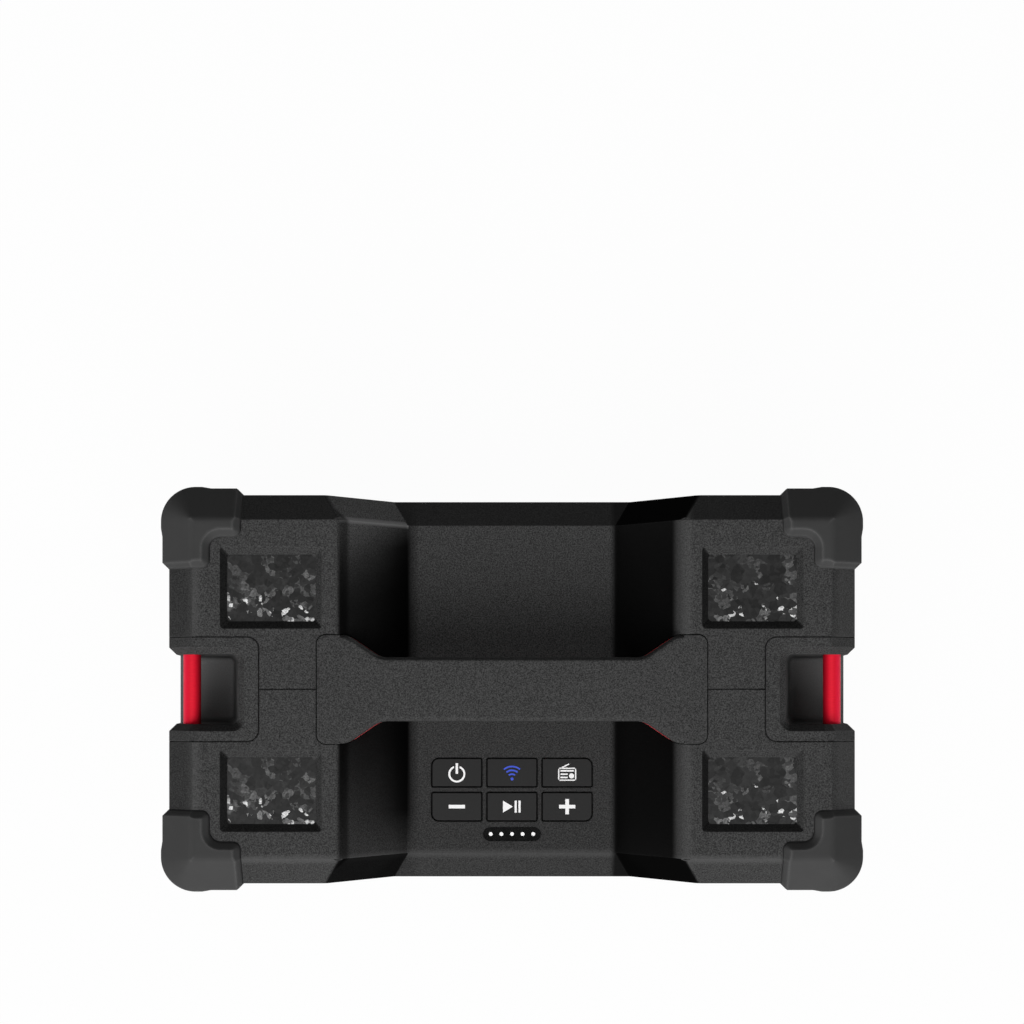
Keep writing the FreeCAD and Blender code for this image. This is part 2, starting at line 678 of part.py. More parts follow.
# A window's frame lies between four neighbours, and the inlay fills what its slopes leave
FRAME_OUTER_X = f"({SIDE} - window_side_margin)"
FRAME_INNER_X = "(valley_top / 2 + window_brim_margin)"
FRAME_OUTER_Y = f"({REAR} - window_end_margin)"
BESIDE_HANDLE = "handle_end_breadth / 2 + panel_gap + window_handle_margin"
BESIDE_BEZEL = "bezel_breadth / 2 + bezel_lip + window_bezel_margin + tray_wall"
FRAME_INNER_Y = f"max({BESIDE_HANDLE}; {BESIDE_BEZEL})"
WINDOW_X = f"(({FRAME_OUTER_X} + {FRAME_INNER_X}) / 2)"
WINDOW_Y = f"(({FRAME_OUTER_Y} + {FRAME_INNER_Y}) / 2)"
INLAY_LENGTH = f"({FRAME_OUTER_X} - {FRAME_INNER_X} - 2 * window_slope_x)"
INLAY_BREADTH = f"({FRAME_OUTER_Y} - {FRAME_INNER_Y} - 2 * window_slope_y)"
INLAY_BOTTOM = f"({TOP} - window_depth - inlay_thickness)"
TRAY_BOTTOM = f"({INLAY_BOTTOM} - tray_wall)"


def window_middle(side, end):
    return f"{side} * {WINDOW_X}", f"{end} * {WINDOW_Y}"


def window_recess(side, end):
    """The sloped frame of a window, widening upwards."""
    x, y = window_middle(side, end)
    body = new_body("window_recess", x, y, f"{TOP} - window_depth", turn=((1, 0, 0), 90))
    wedge = body.newObject("PartDesign::AdditiveWedge", "Wedge")
    over = f"(1 + {CLEAR} / window_depth)"
    bind(
        wedge,
        Xmin=f"-{INLAY_LENGTH} / 2", Xmax=f"{INLAY_LENGTH} / 2",
        Zmin=f"-{INLAY_BREADTH} / 2", Zmax=f"{INLAY_BREADTH} / 2",
        Ymin="0", Ymax=f"window_depth * {over}",
        X2min=f"-{INLAY_LENGTH} / 2 - window_slope_x * {over}",
        X2max=f"{INLAY_LENGTH} / 2 + window_slope_x * {over}",
        Z2min=f"-{INLAY_BREADTH} / 2 - window_slope_y * {over}",
        Z2max=f"{INLAY_BREADTH} / 2 + window_slope_y * {over}",
    )
    dress(body, "Fillet", "window_round", lambda mid, way: abs(way.y) > 0.5)
    return body


def window_tray(side, end):
    """The plastic under a window."""
    x, y = window_middle(side, end)
    reach_x = f"({INLAY_LENGTH} / 2 + window_slope_x + tray_wall)"
    reach_y = f"({INLAY_BREADTH} / 2 + window_slope_y + tray_wall)"
    return box(
        "window_tray",
        (f"{x} - {reach_x}", f"{x} + {reach_x}"),
        (f"{y} - {reach_y}", f"{y} + {reach_y}"),
        (TRAY_BOTTOM, f"{TOP} - wall / 2"),
    )


def window_seat(side, end, grow="0"):
    """The inlay, or with grow the pocket that it lies in."""
    x, y = window_middle(side, end)
    return box(
        "window_seat",
        (f"{x} - {INLAY_LENGTH} / 2 - {grow}", f"{x} + {INLAY_LENGTH} / 2 + {grow}"),
        (f"{y} - {INLAY_BREADTH} / 2 - {grow}", f"{y} + {INLAY_BREADTH} / 2 + {grow}"),
        (INLAY_BOTTOM, f"{TOP} - window_depth"),
    )


BEZEL_BOTTOM = f"({TOP} - notch_depth - bezel_floor)"


def bezel_form(side, grow):
    """The block of a strap anchor, from its inner edge to past the side, wider by grow."""
    body = new_body("bezel_form")
    inner = f"{side} * ({BEZEL_INNER_X} - ({grow}))"
    outer = f"{side} * ({SIDE} + {PAST})"
    reach = f"(bezel_breadth / 2 + ({grow}))"
    outline = [(inner, f"-{reach}"), (outer, f"-{reach}"), (outer, reach), (inner, reach)]
    drawing = sketch(body, "XY", [outline], offset=f"{BEZEL_BOTTOM} - ({grow})")
    pad(body, drawing, f"{TOP} + {PAST} - {BEZEL_BOTTOM} + ({grow})")
    at = value(inner)
    dress(body, "Fillet", f"bezel_round + ({grow})", lambda mid, way: along_z(way) and near(mid.x, at))
    return body


def bezel_lips(side):
    """Lips under the top and behind the side wall, which both halves close over."""
    reach = "(bezel_breadth / 2 + bezel_lip)"
    top_x = (f"{BEZEL_INNER_X} - bezel_lip", f"{SIDE} - edge_chamfer - wall")
    side_x = (f"{SIDE} - wall - fit_gap - bezel_lip_thickness", f"{SIDE} - wall - fit_gap")
    if side < 0:
        top_x, side_x = ((f"-({x[1]})", f"-({x[0]})") for x in (top_x, side_x))
    y = (f"-{reach}", reach)
    top_z = f"{TOP} - wall - fit_gap"
    return [
        box("bezel_top_lip", top_x, y, (f"{top_z} - bezel_lip_thickness", top_z)),
        box("bezel_side_lip", side_x, y, (f"{BEZEL_BOTTOM} - bezel_lip", f"{TOP} - edge_chamfer - wall")),
    ]


def notch_form(side):
    """The tapered notch that a strap's hook reaches into, open upwards and to the side."""
    over = f"(1 + {CLEAR} / notch_depth)"
    body = new_body("notch_form", "0", "0", f"{TOP} - notch_depth", turn=((1, 0, 0), 90))
    wedge = body.newObject("PartDesign::AdditiveWedge", "Wedge")
    floor_x = f"({SIDE} - notch_floor_reach)"
    rim_x = f"({floor_x} - (notch_rim_reach - notch_floor_reach) * {over})"
    past = f"({SIDE} + {PAST})"
    breadth = f"(notch_floor_breadth + (notch_rim_breadth - notch_floor_breadth) * {over})"
    inwards, outwards = ("min", "max") if side > 0 else ("max", "min")
    bind(
        wedge,
        **{
            f"X{inwards}": f"{side} * {floor_x}", f"X{outwards}": f"{side} * {past}",
            f"X2{inwards}": f"{side} * {rim_x}", f"X2{outwards}": f"{side} * {past}",
        },
        Ymin="0", Ymax=f"notch_depth * {over}",
        Zmin="-notch_floor_breadth / 2", Zmax="notch_floor_breadth / 2",
        Z2min=f"-{breadth} / 2", Z2max=f"{breadth} / 2",
    )
    inner, outer = value(floor_x), value(past)

    def corners(mid, way):
        """The two upright corners and the three edges round the floor; the body's own Y points up."""
        upright = abs(way.y) > 0.5 and abs(mid.x) < inner
        on_floor = near(mid.y, 0) and not near(abs(mid.x), outer)
        return upright or on_floor

    dress(body, "Fillet", "notch_round", corners)
    return body


def notch_flare(side):
    """What the bevel down the notch's two outer edges takes away."""
    body = new_body("notch_flare")
    narrow, wide = "(notch_rim_breadth / 2 - notch_round)", f"(notch_rim_breadth / 2 + rim_chamfer + {PAST})"
    inner = f"{side} * ({SIDE} - rim_chamfer - notch_round)"
    outer = f"{side} * ({SIDE} + {PAST})"
    outline = [(inner, f"-{narrow}"), (outer, f"-{wide}"), (outer, wide), (inner, narrow)]
    pad(body, sketch(body, "XY", [outline], offset=f"{TOP} - notch_depth"), "notch_depth")
    return body


def make_strap_anchor(word, side, outside):
    """A panel with a deep notch, and the round bar across it."""
    bar = cylinder(
        "strap_bar",
        "bar_diameter / 2",
        (f"{side} * {BAR_X}", "-notch_rim_breadth / 2 - bar_seat", f"{TOP} - bar_drop"),
        "notch_rim_breadth + 2 * bar_seat",
        along="y",
    )
    bore = cylinder(
        "strap_bore",
        "bar_diameter / 2 + fit_gap",
        (f"{side} * {BAR_X}", "-notch_rim_breadth / 2 - bar_seat - fit_gap", f"{TOP} - bar_drop"),
        "notch_rim_breadth + 2 * bar_seat + 2 * fit_gap",
        along="y",
    )
    block = common("bezel_block", bezel_form(side, "0"), outside)
    notched = cut("bezel_notched", fuse("bezel_lipped", [block] + bezel_lips(side)), [notch_form(side)])
    body = new_body("bezel", base=notched)
    top, side_x, bevel = value(TOP), value(SIDE), value("edge_chamfer")
    between_x = value(f"({BEZEL_INNER_X} + {NOTCH_RIM_X}) / 2")
    between_y = value("(bezel_breadth + notch_rim_breadth) / 4")

    def mouth(mid, way):
        """The notch's edges on the top and on the bevel, which lie inside the panel's own outline."""
        inside = between_x < abs(mid.x) < side_x - SAME and abs(mid.y) < between_y
        on_bevel = near(mid.z, top - (abs(mid.x) - side_x + bevel)) and mid.z > top - bevel
        return inside and (near(mid.z, top) or on_bevel)

    dress(body, "Chamfer", "rim_chamfer", mouth)
    subpart(cut("bezel_bored", body, [bore, notch_flare(side)]), f"strap_bezel_{word}")
    subpart(bar, f"strap_bar_{word}")


BUTTON_GRID = [
    ("power_button", -1, 1), ("pairing_button", 0, 1), ("radio_button", 1, 1),
    ("volume_down_button", -1, -1), ("play_pause_button", 0, -1), ("volume_up_button", 1, -1),
]
BUTTON_PITCH_X = "(button_length + button_space_x)"
BUTTON_PITCH_Y = "(button_breadth + button_space_y)"
ROWS_Y = f"({FRONT} + buttons_setback)"
REAR_ROW_EDGE = f"({ROWS_Y} + {BUTTON_PITCH_Y} / 2 + button_breadth / 2)"
FRONT_ROW_EDGE = f"({ROWS_Y} - {BUTTON_PITCH_Y} / 2 - button_breadth / 2)"
LIGHTS_Y = f"({FRONT_ROW_EDGE} - led_window_space - led_window_breadth / 2)"
BOARD_REAR = f"({REAR_ROW_EDGE} + board_margin)"
BOARD_FRONT = f"({LIGHTS_Y} - led_window_breadth / 2 - board_margin)"
POST_X = f"({BUTTON_PITCH_X} + button_length / 2 + post_clearance)"
DECK_UNDER = f"({DECK} - wall)"
BOARD_TOP = f"({DECK_UNDER} - board_drop)"
PLUNGER_TOP = f"({BOARD_TOP} + switch_height + plunger_height)"


def button_middle(column, row):
    return f"{column} * {BUTTON_PITCH_X}", f"{ROWS_Y} + {row} * {BUTTON_PITCH_Y} / 2"


def round_button(body, column, row, grow="0"):
    """Round the upright edges of a button or its opening, most at a corner of the whole group."""
    wide, deep = value(f"button_length / 2 + {grow}"), value(f"button_breadth / 2 + {grow}")

    def upright(mid, way):
        return along_z(way) and near(abs(mid.x), wide) and near(abs(mid.y), deep)

    def outermost(mid):
        return near(mid.x, column * wide) and near(mid.y, row * deep)

    dress(body, "Fillet", f"button_round + {grow}", lambda mid, way: upright(mid, way) and not outermost(mid))
    if column:
        dress(body, "Fillet", f"group_round + {grow}", lambda mid, way: upright(mid, way) and outermost(mid))


def button_opening(column, row):
    body = new_body("button_opening", *button_middle(column, row))
    outline = rectangle("button_length + 2 * button_gap", "button_breadth + 2 * button_gap")
    pad(body, sketch(body, "XY", [outline], offset=f"{DECK_UNDER} - {CLEAR}"), f"wall + 2 * {CLEAR}")
    round_button(body, column, row, "button_gap")
    return body


def make_button(name, column, row):
    """A key with a lip under the deck and a stem that ends over its switch."""
    x, y = button_middle(column, row)
    body = new_body(name, x, y)
    low = f"{DECK_UNDER} - fit_gap"
    lip_foot = f"({low} - button_flange_thickness)"
    lip = rectangle("button_length + 2 * button_flange", "button_breadth + 2 * button_flange")
    pad(body, sketch(body, "XY", [lip], offset=lip_foot), "button_flange_thickness")
    key = rectangle("button_length", "button_breadth")
    pad(body, sketch(body, "XY", [key], offset=low), f"{DECK} - button_sunk - ({low})")
    stem_foot = f"({PLUNGER_TOP} + button_travel + fit_gap)"
    stem = sketch(body, "XY", circles=[("0", "0", "button_stem_radius")], offset=stem_foot)
    pad(body, stem, f"{lip_foot} - {stem_foot}")
    face_z = value(f"{DECK} - button_sunk")
    round_button(body, column, row)
    dress(body, "Fillet", "button_edge_round", lambda mid, way: near(mid.z, face_z))
    subpart(body, name)


def make_key_board():
    """The board under the deck, and a switch under each button."""
    board = box(
        "key_board_plate",
        (f"-{POST_X} - board_margin", f"{POST_X} + board_margin"),
        (BOARD_FRONT, BOARD_REAR),
        (f"{BOARD_TOP} - board_thickness", BOARD_TOP),
    )
    subpart(board, "key_board")
    switches = []
    for name, column, row in BUTTON_GRID:
        x, y = button_middle(column, row)
        top = f"({BOARD_TOP} + switch_height)"
        housing = box(
            "switch_housing",
            (f"{x} - switch_side / 2", f"{x} + switch_side / 2"),
            (f"{y} - switch_side / 2", f"{y} + switch_side / 2"),
            (BOARD_TOP, top),
        )
        plunger = cylinder("switch_plunger", "plunger_radius", (x, y, top), "plunger_height")
        switches.append(fuse("switch", [housing, plunger]))
    subpart(fuse("switch_group", switches), "key_switches")


def stadium(name, grow, low, high):
    """A strip with round ends over the lights."""
    radius = f"(led_window_breadth / 2 + {grow})"
    reach = "(led_window_length / 2 - led_window_breadth / 2)"
    across = (f"{LIGHTS_Y} - {radius}", f"{LIGHTS_Y} + {radius}")
    middle = box(name, (f"-{reach}", reach), across, (low, high))
    ends = [
        cylinder(name, radius, (f"{side} * {reach}", LIGHTS_Y, low), f"({high}) - ({low})")
        for word, side in SIDES
    ]
    return fuse(name + "_strip", [middle] + ends)


def make_lights():
    """Five lights on the key board, and the dark strip over them."""
    foot = f"({DECK_UNDER} - led_window_flange)"
    lens = stadium("led_lens", "0", foot, f"{DECK} - led_window_sunk")
    flange = stadium("led_flange", "led_window_flange", foot, DECK_UNDER)
    subpart(fuse("led_window_group", [lens, flange]), "led_window")
    stem_height = "(board_drop - led_window_flange - led_radius - fit_gap)"
    lights = []
    for number in range(-2, 3):
        x = f"{number} * led_pitch"
        stem = cylinder("light_stem", "led_radius", (x, LIGHTS_Y, BOARD_TOP), stem_height)
        tip = doc.addObject("Part::Sphere", "light_tip")
        bind(tip, Radius="led_radius")
        place(tip, x, LIGHTS_Y, f"{BOARD_TOP} + {stem_height}")
        lights.append(fuse("light", [stem, tip]))
    subpart(fuse("light_group", lights), "battery_leds")


def deck_posts():
    """Posts under the deck that the key board is fixed to."""
    return [
        cylinder("post", "post_radius", (f"{side} * {POST_X}", y, BOARD_TOP), "board_drop + wall / 2")
        for word, side in SIDES
        for y in (f"{BOARD_FRONT} + board_margin", f"{BOARD_REAR} - board_margin")
    ]


def inner_walls(end):
    """What both halves have inside: the handle's socket and two window trays."""
    socket = handle_form("handle_socket", f"{HANDLE_BOTTOM} - wall", TOP, grow="panel_gap + wall")
    trays = [window_tray(side, end) for word, side in SIDES]
    return [socket] + trays


def half_space(end):
    """One side of the parting line."""
    y = ("-body_depth", "-parting_gap / 2") if end < 0 else ("parting_gap / 2", "body_depth")
    return box("half_space", (f"-{SIDE} - {PAST}", f"{SIDE} + {PAST}"), y, (f"-{PAST}", f"{TOP} + {PAST}"))


def lap_band(name, outer, inner, low, high):
    """A thin band inside the housing's skin, from one depth to another, across the parting plane."""
    band = cut(name, housing_form(name + "_outer", outer), [housing_form(name + "_inner", inner)])
    slab = box(name + "_slab", (f"-{SIDE}", SIDE), (low, high), (BOTTOM, TOP))
    return common(name + "_band", band, slab)


def shared_cuts(end, handle_bores):
    """What is taken out of both halves: handle pocket, anchor openings, windows and handle screws."""
    pocket = handle_form("handle_pocket", HANDLE_BOTTOM, f"{TOP} + {CLEAR}", grow="panel_gap")
    openings = [bezel_form(side, "panel_gap") for word, side in SIDES]
    recesses = [window_recess(side, end) for word, side in SIDES]
    seats = [window_seat(side, end, "fit_gap") for word, side in SIDES]
    return [pocket] + openings + recesses + seats + handle_bores


def make_front_shell(skin, outside, handle_bores):
    """The front half: grille recess, baffle with two round holes, deck with its openings."""
    well = front_prism("well", "grille_ledge - wall", f"{FRONT} + wall / 2", BAFFLE_BACK)
    bosses = [
        cylinder("front_boss", "boss_radius", (x, "-front_boss_length", z), "front_boss_length", along="y")
        for x, z in boss_places()
    ]
    ears = [
        cylinder("ear_boss", "ear_boss_radius", (x, BAFFLE_FACE, z), "woofer_screw_reach + ear_boss_tip", "y")
        for word, side in SIDES
        for x, z in ear_places(side)
    ]
    raw = fuse("front_raw", [skin, well] + inner_walls(-1) + bosses + boss_ribs() + ears + deck_posts())
    half = common("front_half", common("front_trimmed", raw, outside), half_space(-1))
    before = f"{FRONT} - {PAST}"
    ledge = front_prism("grille_recess", "0", before, f"{FRONT} + grille_sunk + grille_thickness")
    inside = front_prism("well_inside", "grille_ledge", before, BAFFLE_FACE)
    holes = [
        cylinder("baffle_hole", "baffle_hole", (f"{side} * woofer_x", FRONT, "woofer_z"),
                 f"baffle_setback + baffle_thickness + {CLEAR}", along="y")
        for word, side in SIDES
    ]
    ear_bores = [
        cylinder("ear_bore", "woofer_screw_radius + fit_gap", (x, FRONT, z),
                 "baffle_setback + woofer_screw_reach + fit_gap", along="y")
        for word, side in SIDES
        for x, z in ear_places(side)
    ]
    tip_y = "head_seat - shell_screw_reach - fit_gap"
    boss_bores = [
        cylinder("front_boss_bore", "screw_radius + fit_gap", (x, tip_y, z), "shell_screw_reach", along="y")
        for x, z in boss_places()
    ]
    buttons = [button_opening(column, row) for name, column, row in BUTTON_GRID]
    strip = stadium("led_opening", "fit_gap", f"{DECK_UNDER} - {CLEAR}", f"{DECK} + {CLEAR}")
    groove = lap_band("groove", "wall / 2 - lap_gap / 2", "wall + lap_gap", "-lap_reach - lap_gap", CLEAR)
    tools = shared_cuts(-1, handle_bores) + [groove, ledge, inside, strip] + holes + ear_bores + boss_bores
    subpart(cut("front_shell_cut", half, tools + buttons), "front_shell")


BAY_FLOOR = f"({REAR} - bay_depth)"
HINGE_Y = f"({REAR} - knuckle_set_in)"
HINGE_Z = "(port_z + cover_height / 2 + knuckle_radius)"
COVER_SHOULDER = "(port_z + cover_height / 2 - hinge_tab)"
BOARD_FACE = f"({BAY_FLOOR} - port_panel_thickness - socket_reach)"


def board_posts():
    """Posts behind the bay that the main board is fixed to, beside the sockets' plate."""
    reach_x = "(bay_length / 2 + port_panel_margin + panel_gap + post_radius)"
    reach_z = "(bay_height / 2 + port_panel_margin)"
    length = f"{BAY_FLOOR} + {CLEAR} - {BOARD_FACE}"
    places = [(f"port_x + {a} * {reach_x}", f"port_z + {b} * {reach_z}") for a in (-1, 1) for b in (-1, 1)]
    return [cylinder("board_post", "post_radius", (x, BOARD_FACE, z), length, along="y") for x, z in places]


BEHIND = f"({REAR} + {CLEAR})"
KNUCKLE_TOP = f"({HINGE_Z} + knuckle_radius + hinge_top_gap)"


def radiator_slots():
    """Slots before the passive radiator, each as long as the round field allows."""
    slots = []
    for number in range(int(value("slot_count"))):
        step = f"({number} - (slot_count - 1) / 2) * slot_pitch"
        reach = f"sqrt(slot_field^2 - ({step})^2)"
        slots.append(box(
            "slot",
            (f"-{reach}", reach),
            (f"{REAR} - wall - {CLEAR}", BEHIND),
            (f"radiator_z + {step} - slot_height / 2", f"radiator_z + {step} + slot_height / 2"),
        ))
    return slots


def port_openings():
    """The cover's recess with its hinge and fingertip notch, the bay behind it, and the pin's bore."""
    recess = box(
        "cover_recess",
        ("port_x - cover_length / 2 - panel_gap", "port_x + cover_length / 2 + panel_gap"),
        (f"{REAR} - cover_recess", BEHIND),
        ("port_z - cover_height / 2 - panel_gap", f"{COVER_SHOULDER} + hinge_swing_gap"),
    )
    hinge_recess = box(
        "hinge_recess",
        ("port_x - hinge_length / 2 - panel_gap", "port_x + hinge_length / 2 + panel_gap"),
        (f"{REAR} - cover_recess", BEHIND),
        (COVER_SHOULDER, KNUCKLE_TOP),
    )
    notch = box(
        "finger_notch",
        ("port_x - finger_notch / 2", "port_x + finger_notch / 2"),
        (f"{REAR} - finger_notch_depth", BEHIND),
        ("port_z - cover_height / 2 - finger_notch_height", "port_z - cover_height / 2"),
    )
    bay_hole = box(
        "bay_hole",
        ("port_x - bay_length / 2", "port_x + bay_length / 2"),
        (f"{BAY_FLOOR} - {CLEAR}", REAR),
        ("port_z - bay_height / 2", "port_z + bay_height / 2"),
    )
    pin_end = ("port_x - hinge_pin_length / 2 - fit_gap", HINGE_Y, HINGE_Z)
    bore_length = "hinge_pin_length + 2 * fit_gap"
    pin_bore = cylinder("pin_bore", "hinge_pin_radius + fit_gap / 2", pin_end, bore_length, along="x")
    return [recess, hinge_recess, notch, bay_hole, pin_bore]


def make_rear_shell(skin, outside, handle_bores):
    """The rear half: slots before the passive radiator, port bay and recess, deep screw holes."""
    bosses = [
        cylinder("rear_boss", "boss_radius", (x, "0", z), f"{REAR} - wall / 2", along="y")
        for x, z in boss_places()
    ]
    reach_x = "(cover_length / 2 + panel_gap + bay_wall)"
    bay = box(
        "bay_block",
        (f"port_x - {reach_x}", f"port_x + {reach_x}"),
        (BAY_FLOOR, f"{REAR} - wall / 2"),
        ("port_z - cover_height / 2 - panel_gap - bay_wall", f"{KNUCKLE_TOP} + bay_wall"),
    )
    raw = fuse("rear_raw", [skin, bay] + inner_walls(1) + bosses + board_posts())
    tongue = lap_band("tongue", "wall / 2 + lap_gap / 2", "wall - lap_gap", "-lap_reach", "lap_reach")
    trimmed = common("rear_half", common("rear_trimmed", raw, outside), half_space(1))
    half = fuse("rear_lapped", [trimmed, tongue])
    seats = [
        cylinder("head_hole", "screw_head_radius + head_clearance", (x, "head_seat", z), REAR, along="y")
        for x, z in boss_places()
    ]
    bores = [
        cylinder("rear_boss_bore", "screw_radius + fit_gap", (x, f"-{CLEAR}", z), f"head_seat + 2 * {CLEAR}",
                 along="y")
        for x, z in boss_places()
    ]
    tools = shared_cuts(1, handle_bores) + radiator_slots() + port_openings() + seats + bores
    subpart(cut("rear_shell_cut", half, tools), "rear_shell")


def make_shell_screws():
    """Six screws that go in from the rear and hold the halves together."""
    screws = []
    for x, z in boss_places():
        tip, seat = (x, "head_seat - shell_screw_reach", z), (x, "head_seat", z)
        screws.append(cylinder("shell_shank", "screw_radius", tip, "shell_screw_reach", along="y"))
        screws.append(cylinder("shell_head", "screw_head_radius", seat, "screw_head_height", along="y"))
    subpart(fuse("shell_screw_group", screws), "shell_screws")


# Corner guards

BEVEL_LEG = "(edge_chamfer - sqrt(2) * bumper_bevel_skin)"


def bumper_plan(reach, breadth, out):
    """The L of a guard seen from above, its ends bevelled down to the side walls."""
    return [
        (out, out), (f"{out} - ({reach})", out), (f"-({reach})", "0"), (f"-({reach})", f"-({breadth})"),
        (f"-({breadth})", f"-({breadth})"),
        (f"-({breadth})", f"-({reach})"), ("0", f"-({reach})"), (out, f"{out} - ({reach})"),
    ]


def bumper_arms():
    """Both arms, the upright one and the thicker corner, before their upper side is shaped."""
    body = new_body("bumper_arms")
    out = "bumper_proud"
    ball = "(bumper_proud + ball_proud)"
    low = "-bumper_width"
    plan = bumper_plan("bumper_arm", "bumper_width", out)
    post = [
        (out, out), (f"{out} - bumper_width", out), ("-bumper_width", "0"),
        ("-bumper_width", "-bumper_width"), ("0", "-bumper_width"), (out, f"{out} - bumper_width"),
    ]
    fade = "-(ball_reach - ball_taper)"
    corner = [
        (ball, ball), (fade, ball), ("-ball_reach", out), ("-ball_reach", "-ball_reach"),
        (out, "-ball_reach"), (ball, fade),
    ]
    pad(body, sketch(body, "XY", [plan], offset=low), "bumper_rise + bumper_width")
    pad(body, sketch(body, "XY", [post], offset="-bumper_drop"), f"bumper_drop - bumper_width + {CLEAR}")
    pad(body, sketch(body, "XY", [corner], offset="-ball_drop"), "ball_drop + bumper_rise")
    inner, arm, ball_at, out_at = value("-bumper_width"), value("-bumper_arm"), value(ball), value(out)
    top, foot = value("bumper_rise"), value("-bumper_drop")
    rim = inner / 3  # the rim towards the middle of the top lies further in than this
    dress(body, "Fillet", "bumper_corner_round",
          lambda mid, way: along_z(way) and near(mid.x, out_at) and near(mid.y, out_at))
    dress(body, "Fillet", "bumper_corner_round + ball_proud",
          lambda mid, way: along_z(way) and near(mid.x, ball_at) and near(mid.y, ball_at))
    dress(body, "Fillet", "bumper_inner_round",
          lambda mid, way: along_z(way) and near(mid.x, inner) and near(mid.y, inner) and mid.z > inner)
    dress(body, "Fillet", "bumper_arm_round",
          lambda mid, way: along_z(way) and near(min(mid.x, mid.y), arm) and near(max(mid.x, mid.y), inner))
    dress(body, "Chamfer", "bumper_rise", lambda mid, way: near(mid.z, top) and max(mid.x, mid.y) < rim)
    dress(body, "Chamfer", "bumper_proud",
          lambda mid, way: near(mid.z, foot) and (near(mid.x, out_at) or near(mid.y, out_at)))
    return body


def bumper_roof():
    """Everything under the guard's bevels, with a cone round the corner."""
    body = new_body("bumper_roof")
    out = "(bumper_proud + ball_proud + bumper_rise)"
    far = "-2 * bumper_drop"
    block = sketch(body, "XY", [[(out, out), (far, out), (far, far), (out, far)]], offset=far)
    pad(body, block, "2 * bumper_drop + bumper_rise")
    at, top = value(out), value("bumper_rise")
    dress(body, "Fillet", f"bumper_corner_round - bumper_proud + {out}",
          lambda mid, way: along_z(way) and near(mid.x, at) and near(mid.y, at))

    def outer_rim(mid, way):
        straight = along_x(way) or along_y(way)
        return near(mid.z, top) and (max(mid.x, mid.y) > 0 or not straight)

    dress(body, "Chamfer", f"{out} + bumper_rise + {BEVEL_LEG}", outer_rim)
    return body


def bumper_fold(turn):
    """Everything under the rounded fold between the flat top and one bevel."""
    body = new_body("bumper_fold", turn=turn)
    far = "2 * bumper_drop"
    half = [
        (f"-{far}", f"-{far}"), (f"{far} - {BEVEL_LEG}", f"-{far}"),
        (f"-bumper_rise - {BEVEL_LEG}", "bumper_rise"), (f"-{far}", "bumper_rise"),
    ]
    pad(body, sketch(body, "XZ", [half]), f"2 * {far}", both_ways=True)
    at, top = value(f"-bumper_rise - {BEVEL_LEG}"), value("bumper_rise")
    dress(body, "Fillet", "bumper_fold_round", lambda mid, way: near(mid.x, at) and near(mid.z, top))
    return body


def bumper_end(plane, turn):
    """Everything under the bevel that ends one arm, where the arm lies on the housing's bevel."""
    body = new_body("bumper_end", turn=turn)
    far = "2 * bumper_drop"
    foot = f"-edge_chamfer / sqrt(2) - {far}"
    outline = [(f"-bumper_arm - {far}", foot), (f"{far} - bumper_arm", foot),
               (f"{far} - bumper_arm", f"{far} - edge_chamfer / sqrt(2)")]
    pad(body, sketch(body, plane, [outline]), f"2 * {far}", both_ways=True)
    return body


def housing_corner():
    """The housing's corner, which a guard is moulded over."""
    body = new_body("housing_corner")
    far = "-2 * bumper_drop"
    block = sketch(body, "XY", [[("0", "0"), (far, "0"), (far, far), ("0", far)]], offset=far)
    pad(body, block, "2 * bumper_drop")
    dress(body, "Chamfer", "edge_chamfer",
          lambda mid, way: sum(near(v, 0) for v in (mid.x, mid.y, mid.z)) == 2)
    return body


def make_bumpers():
    """Eight equal guards, one on each corner; the lower four are the feet."""
    form = common("bumper_under_roof", bumper_arms(), bumper_roof())
    for turn in (None, ((0, 0, 1), 90)):
        form = common("bumper_under_fold", form, bumper_fold(turn))
    for plane, turn in (("XZ", ((1, 0, 0), -45)), ("YZ", ((0, 1, 0), 45))):
        form = common("bumper_under_end", form, bumper_end(plane, turn))
    corner = housing_corner()
    quarter = {(1, 1): 0, (1, -1): 1, (-1, -1): 2, (-1, 1): 3}
    for end_word, end in ENDS:
        for word, side in SIDES:
            x, y = f"{side} * {SIDE}", f"{end} * {REAR}"
            steps = (4 - quarter[side, end]) % 4
            top = cut("bumper_top", form, [corner])
            place(top, x, y, TOP, ((0, 0, 1), 90 * steps))
            subpart(top, f"bumper_top_{end_word}_{word}")
            steps = (steps + 1) % 4
            axis = (cos(radians(45 * steps)), sin(radians(45 * steps)), 0)
            bottom = cut("bumper_bottom", form, [corner])
            place(bottom, x, y, BOTTOM, (axis, 180))
            subpart(bottom, f"bumper_bottom_{end_word}_{word}")


def make_inlays():
    """Four plates that fill the windows."""
    for end_word, end in ENDS:
        for word, side in SIDES:
            subpart(window_seat(side, end), f"window_inlay_{end_word}_{word}")


# Front grille and woofers

